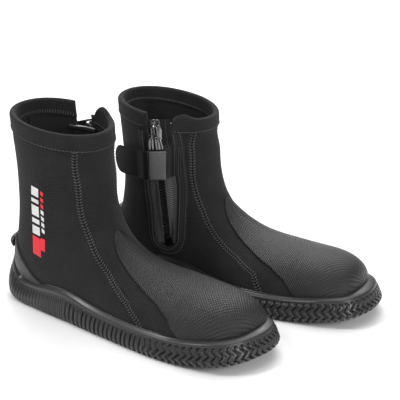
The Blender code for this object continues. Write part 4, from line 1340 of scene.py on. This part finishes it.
def make_puller(boot, frame):
    n = PULLER_PIVOT_N
    t = PULLER_PIVOT_T
    loop_t = [t, t, t + 1.5, 5.5, 6.5, 6.5, 6.5, 5.5, t + 1.5, t, t]
    loop_a = [0.0, 2.2, 2.9, 3.3, 2.6, 0.0, -2.6, -3.3, -2.9, -2.2, -0.01]
    points = resample(frame.at(loop_t, loop_a, n), 0.6)
    parts = [sweep(points, frame.out, rounded(1.15, 1.15, 0.5))]
    rings = []
    for share in np.linspace(0, 1, 25):
        along = PULLER_TOP + PULLER_LENGTH * share
        end_round = math.sqrt(max(0.0, 1 - (2 * share - 1) ** 8))
        width = PULLER_HALF * (0.80 + 0.20 * smooth_step(share * 1.6)) * max(end_round, 0.25)
        turn = np.linspace(0, 2 * PI, 96, endpoint=False)
        a = width * signed_power(np.cos(turn), 0.5)
        thick = 0.35 + 0.75 * max(end_round, 0.2)
        ribs = PULLER_RIB * np.cos(a / width * 4.5 * PI)
        ribs = ribs * smooth_step(share * 6) * smooth_step((1 - share) * 6)
        up = signed_power(np.sin(turn), 0.6)
        lift = np.where(up > 0, up * (thick + ribs), up * 0.5)
        rings.append(frame.at(along, a, n + 0.25 + lift))
    parts.append(loft(rings))
    make_piece(boot, "zip_puller", *together(parts), "metal", body="puller",
               slot="slider_metal", sharp=50.0)


def make_gusset(boot):
    """The pleated cloth behind the zip, with its bound top edge."""
    z = GUSSET_LOW + GUSSET_HEIGHT * shares(108.0, 2.0)[:, None]
    offset = GUSSET_HALF * (2 * shares(2 * GUSSET_HALF, 1.0)[None, :] - 1)
    angle, place = boot.by_zip(offset, z)
    fold = 0.5 * np.cos(offset / GUSSET_HALF * 2.5 * PI) + 0 * z
    fold = fold - COLLAR_INSIDE
    lay_sheet(boot, "zip_gusset", angle, place, fold - 0.9, fold - 2.4, "lining", 0.7,
              slot="neoprene")
    offset = np.linspace(-GUSSET_HALF, GUSSET_HALF, 50)
    z = BINDING_Z + 0 * offset
    angle, place = boot.by_zip(offset, z)
    points = boot.skin.lifted(angle, place, -COLLAR_INSIDE - 1.7 + 0 * offset)
    normals = boot.skin.normal(angle, place)
    verts, faces = sweep(points, normals, rounded(4.6, 3.0, 1.3))
    make_piece(boot, "gusset_binding", verts, faces, "bead", slot="webbing")


def flap_lines(boot, reach):
    """Side-view x and z of a U round the zip at a distance from its middle."""
    heights = np.linspace(FLAP_TOP_Z, FLAP_FOOT_Z, 60)
    turn = np.linspace(0, PI, 40)[1:-1]
    bottom_x = boot.zip_x(FLAP_FOOT_Z) - reach * np.cos(turn)
    bottom_z = FLAP_FOOT_Z - reach * FLAP_SQUASH * np.sin(turn)
    x = np.concatenate([boot.zip_x(heights) - reach, bottom_x, boot.zip_x(heights[::-1]) + reach])
    return x, np.concatenate([heights, bottom_z, heights[::-1]])


def make_surround(boot):
    """The folded flap round the zip: a rolled inner edge that thins out to its outer seam."""
    reach = FLAP_INNER + (FLAP_OUTER - FLAP_INNER) * shares(FLAP_OUTER - FLAP_INNER, 0.9, 1.5, 5)
    lines = [flap_lines(boot, value) for value in reach]
    x = np.array([line[0] for line in lines])
    z = np.array([line[1] for line in lines])
    angle, place = boot.skin.beside(x, z)
    share = ((reach - FLAP_INNER) / (FLAP_OUTER - FLAP_INNER))[:, None]
    out = 3.7 - 2.7 * smooth_step(share * 1.15) + 0 * x
    lay_sheet(boot, "zip_surround", angle, place, out, -0.8 + 0 * x, "flap",
              (0.8, 0.8, 1.5, 0.8), slot="neoprene")
    rows = []
    for value, lift in ((FLAP_INNER + 2.6, 3.45), (FLAP_OUTER - 1.4, 1.1)):
        angle, place = boot.skin.beside(*flap_lines(boot, value))
        rows.append(running_stitches(skin_line(boot, angle, place, lift, 3.2), 2.3))
    sew(boot, "surround_stitches", rows, "thread", 0.4, 0.3)


# ---------------------------------------------------------------- the strap

def strap_lift(offset):
    """The strap's underside, eased between the points of its arch over the zip."""
    fine = np.linspace(STRAP_LEAVES, STRAP_FRONT, 200)
    lift = knots(STRAP_ARCH, fine)
    kernel = np.hanning(17)
    eased = np.convolve(np.pad(lift, 8, "edge"), kernel / kernel.sum(), "valid")
    return np.interp(offset, fine, eased)


def strap_surface(boot):
    """The strap's underside as a grid: rows across its width, columns from front to tab."""
    half = STRAP_WIDTH / 2
    width = (shares(STRAP_WIDTH, 1.3, 1.0) * 2 - 1)[:, None]
    offset = np.linspace(STRAP_FRONT - 0.5, STRAP_LEAVES, STRAP_COLUMNS)[None, :]
    angle, place = boot.strap_skin(offset, width * half)
    grid = boot.skin.lifted(angle, place, strap_lift(offset) + 0 * angle)
    normal = boot.skin.normal(angle, place)
    away = unit(grid[:, -1] - grid[:, -4]).mean(0)
    away = unit(away - np.array([0.0, 0.0, away[2]]) * 0.6)
    middle = grid[len(grid) // 2, -1]
    end_normal = unit(normal[:, -1].mean(0))
    columns = []
    distances = STRAP_TAB * shares(STRAP_TAB, 1.2, 3.0, 6)[1:]
    for distance in distances:
        past = max(0.0, distance - (STRAP_TAB - half)) / half
        narrow = math.sqrt(max(1 - past**2, 0.004))
        curl = 2.0 * (distance / STRAP_TAB) ** 2
        columns.append(middle + away * distance + (grid[:, -1] - middle) * narrow - end_normal * curl)
    tab = np.stack(columns, 1)
    grid = np.concatenate([grid, tab], 1)
    normal = np.concatenate([normal, np.broadcast_to(end_normal, tab.shape)], 1)
    return grid, normal


def strap_stitches(grid, normal, first, join):
    """Stitches along both edges of the strap's light part, and two rows across its join."""
    lengthwise = slice(first, join)
    crosswise = slice(3, -3)
    rows = []
    for row, columns, pitch, length, offset in (
            (2, lengthwise, 3.0, 2.1, 1.2), (-3, lengthwise, 3.0, 2.1, -1.2),
            (crosswise, join - 2, 2.4, 1.8, 0.0), (crosswise, join + 1, 2.4, 1.8, 0.0)):
        edge = grid[row, columns] + normal[row, columns] * 2.2
        line = even_line(edge, edge + normal[row, columns] * 5, pitch)
        rows.append(running_stitches(line, length, offset))
    return rows


def make_strap(boot):
    grid, normal = strap_surface(boot)
    half = STRAP_WIDTH / 2
    per_mm = STRAP_COLUMNS / (STRAP_FRONT - STRAP_LEAVES)
    join = int(per_mm * (STRAP_FRONT - STRAP_JOIN))
    first = int(per_mm * (STRAP_FRONT - STRAP_DARK_END))
    pieces = (("strap_end", slice(0, first + 2), "flap", 1.0, 0.85),
              ("strap_front", slice(first, join + 2), "strap", 1.15, 0.95),
              ("strap_rear", slice(join - 3, None), "strap_dark", 0.95, 1.05))
    for name, columns, look, middle, thick in pieces:
        base = grid[:, columns]
        out = normal[:, columns]
        rounding, along, up = border_rounding(base, (0.9, 0.9, 1.0, 1.0))
        layers = [base + out * (middle + way * thick * rounding)[..., None] for way in (1, -1)]
        grid_piece(boot, name, *layers, along, up, look, body="strap", instead_of=["strap"],
                   slot="webbing")
    rows = strap_stitches(grid, normal, first, join)
    sew(boot, "strap_stitches", rows, "thread", 0.27, 0.2, "strap")
    offset = (PAD_FRONT + (STRAP_LEAVES + 1 - PAD_FRONT) * shares(16.0, 1.2, 0.5, 3))[None, :]
    for name, body, low, high, margin, look in (
            ("strap_hook_pad", "strap", 2.0, 3.3, 3.0, "hooks"),
            ("loop_patch", "boot", 0.0, 1.6, 2.0, "loops")):
        width = (half - margin) * (shares(STRAP_WIDTH, 1.3, 0.5, 3) * 2 - 1)[:, None]
        angle, place = boot.strap_skin(offset, width)
        lay_sheet(boot, name, angle, place, high, low, look, 0.5, body=body,
                  slot="hook_loop")
    make_strap_anchor(boot)


def make_strap_anchor(boot):
    """The strap's sewn end, with its two rows of stitches."""
    half = STRAP_WIDTH / 2
    offset = (STRAP_FRONT + 0.3 + ANCHOR_LENGTH * shares(ANCHOR_LENGTH, 0.8, 0.6))[None, :]
    width = half * (shares(STRAP_WIDTH, 1.3, 0.8) * 2 - 1)[:, None]
    angle, place = boot.strap_skin(offset, width)
    lay_sheet(boot, "strap_anchor", angle, place, ANCHOR_OUT, 2.4, "flap", (0.6, 1.4, 0.8, 0.8),
              slot="webbing")
    across = np.linspace(-half + 2, half - 2, 40)
    rows = []
    for start in (STRAP_FRONT + 2.0, STRAP_FRONT + 5.4):
        angle, place = boot.strap_skin(start, across)
        rows.append(running_stitches(skin_line(boot, angle, place, ANCHOR_OUT, 2.6), 1.9))
    sew(boot, "anchor_stitches", rows, "thread", 0.28, 0.2)


# ---------------------------------------------------------------- the print

def print_block(boot, corners, steps=(10, 8)):
    """A thin patch between four side-view corners, as an outer and an inner grid."""
    a, b, c, d = (np.array(corner, float) for corner in corners)
    u = np.linspace(0, 1, steps[0])[None, :, None]
    v = np.linspace(0, 1, steps[1])[:, None, None]
    flat = (a * (1 - u) + b * u) * (1 - v) + (d * (1 - u) + c * u) * v
    angle, place = boot.skin.beside(flat[..., 0], flat[..., 1], False)
    rounding = border_rounding(boot.skin.point(angle, place), 0.3)[0]
    outer = drape(boot.skin.lifted(angle, place, 0.08 + 0.2 * rounding))
    inner = drape(boot.skin.lifted(angle, place, 0.08 - 0.2 * rounding))
    verts = np.concatenate([outer.reshape(-1, 3), inner[1:-1, 1:-1].reshape(-1, 3)])
    uv = np.concatenate([flat.reshape(-1, 2), flat[1:-1, 1:-1].reshape(-1, 2)])
    return verts, sheet_faces(*outer.shape[:2]).tolist(), uv


def make_print(boot):
    """Two columns of plain slanted blocks and dashes, the upper dashes red, over two red blocks."""
    def slanted(low, high, left, right, slant=1.6):
        def x_at(z, side):
            return PRINT_X + (z - PRINT_Z) * PRINT_LEAN + side
        return [(x_at(low, left), low + slant), (x_at(low, right), low - slant * 0.2),
                (x_at(high, right), high - slant * 0.2), (x_at(high, left), high + slant)]

    white = []
    red = [print_block(boot, slanted(58, 78, 0, 10, 2.4), (12, 14)),
           print_block(boot, slanted(65, 78, 10, 15, 1.0), (7, 10))]
    for low, high in WHITE_BLOCKS:
        white.append(print_block(boot, slanted(low, high, 0, PRINT_WIDTH)))
    for number in range(DASH_COUNT):
        low = DASH_Z + number * DASH_PITCH
        column = white if number < WHITE_DASHES else red
        column.append(print_block(boot, slanted(low, low + DASH_HEIGHT, 11.5, 14.5), (5, 6)))
    for name, blocks, look, nodes in (("side_print", white, "white", ["side_print"]),
                                      ("side_print_block", red, "red", ())):
        verts, faces = together([block[:2] for block in blocks])
        uv = np.concatenate([block[2] for block in blocks])
        make_piece(boot, name, verts, faces, look, instead_of=nodes, slot="print", uv=uv)


# ---------------------------------------------------------------- the stage

CAMERA_PLACE = (0.78981, -0.94778, 0.55012)
CAMERA_AIM = (0.00822, 0.00252, 0.10890)
CAMERA_LENS = 120.47
FLOOR_REACH = 6.0
WORLD_STRENGTH = 0.42
BOOTS_MIDDLE = (0.0, 0.0, 0.08)
# Each light's name, place, target, size in metres and power in watts
LIGHTS = (
    ("key", (-0.75, -1.05, 1.5), BOOTS_MIDDLE, 0.4, 15.0),
    ("fill", (1.8, -0.35, 0.9), BOOTS_MIDDLE, 0.9, 19.0),
    ("overhead", (0.2, 0.3, 2.3), BOOTS_MIDDLE, 1.8, 16.0),
    ("backdrop", (-1.5, 1.8, 1.9), (-1.5, 1.8, 0.0), 2.4, 90.0),
)


def aim(item, target):
    way = Vector(target) - item.location
    item.rotation_mode = "QUATERNION"
    item.rotation_quaternion = way.to_track_quat("-Z", "Y")


def add_light(name, place, target, size, power):
    data = bpy.data.lights.new(name, "AREA")
    data.shape = "SQUARE"
    data.size = size
    data.energy = power
    lamp = bpy.data.objects.new(name, data)
    lamp.location = place
    bpy.context.scene.collection.objects.link(lamp)
    aim(lamp, target)


def floor_look():
    look = Look("pale_floor", Specular_IOR_Level=0.1)
    patches = look.noise(3.0, 2.0)
    return look.finish(look.mix(patches, (0.90, 0.90, 0.90), (0.92, 0.92, 0.92)), 0.7)


def make_stage():
    scene = bpy.context.scene
    scene.view_settings.view_transform = "Standard"
    data = bpy.data.cameras.new("camera")
    data.lens = CAMERA_LENS
    camera = bpy.data.objects.new("camera", data)
    camera.location = CAMERA_PLACE
    scene.collection.objects.link(camera)
    aim(camera, CAMERA_AIM)
    scene.camera = camera
    mesh = bpy.data.meshes.new("floor")
    corners = [(x * FLOOR_REACH, y * FLOOR_REACH, 0) for x, y in ((-1, -1), (1, -1), (1, 1), (-1, 1))]
    mesh.from_pydata(corners, [], [(0, 1, 2, 3)])
    mesh.materials.append(floor_look())
    floor = bpy.data.objects.new("floor", mesh)
    scene.collection.objects.link(floor)
    world = bpy.data.worlds.new("studio")
    world.use_nodes = True
    backdrop = world.node_tree.nodes["Background"]
    backdrop.inputs["Color"].default_value = (1.0, 1.0, 1.0, 1.0)
    backdrop.inputs["Strength"].default_value = WORLD_STRENGTH
    scene.world = world
    for light in LIGHTS:
        add_light(*light)


def main():
    for side in ("right", "left"):
        boot = Boot(side)
        make_upper(boot)
        make_collar(boot)
        make_vamp(boot)
        make_heel_counter(boot)
        make_outsole(boot)
        make_footbed(boot)
        zip_frame = ZipFrame(boot)
        make_tapes(boot, zip_frame)
        make_teeth(boot, zip_frame)
        make_slider(boot, zip_frame)
        make_gusset(boot)
        make_surround(boot)
        make_strap(boot)
        make_print(boot)
    make_stage()


LOOKS = make_looks()
main()
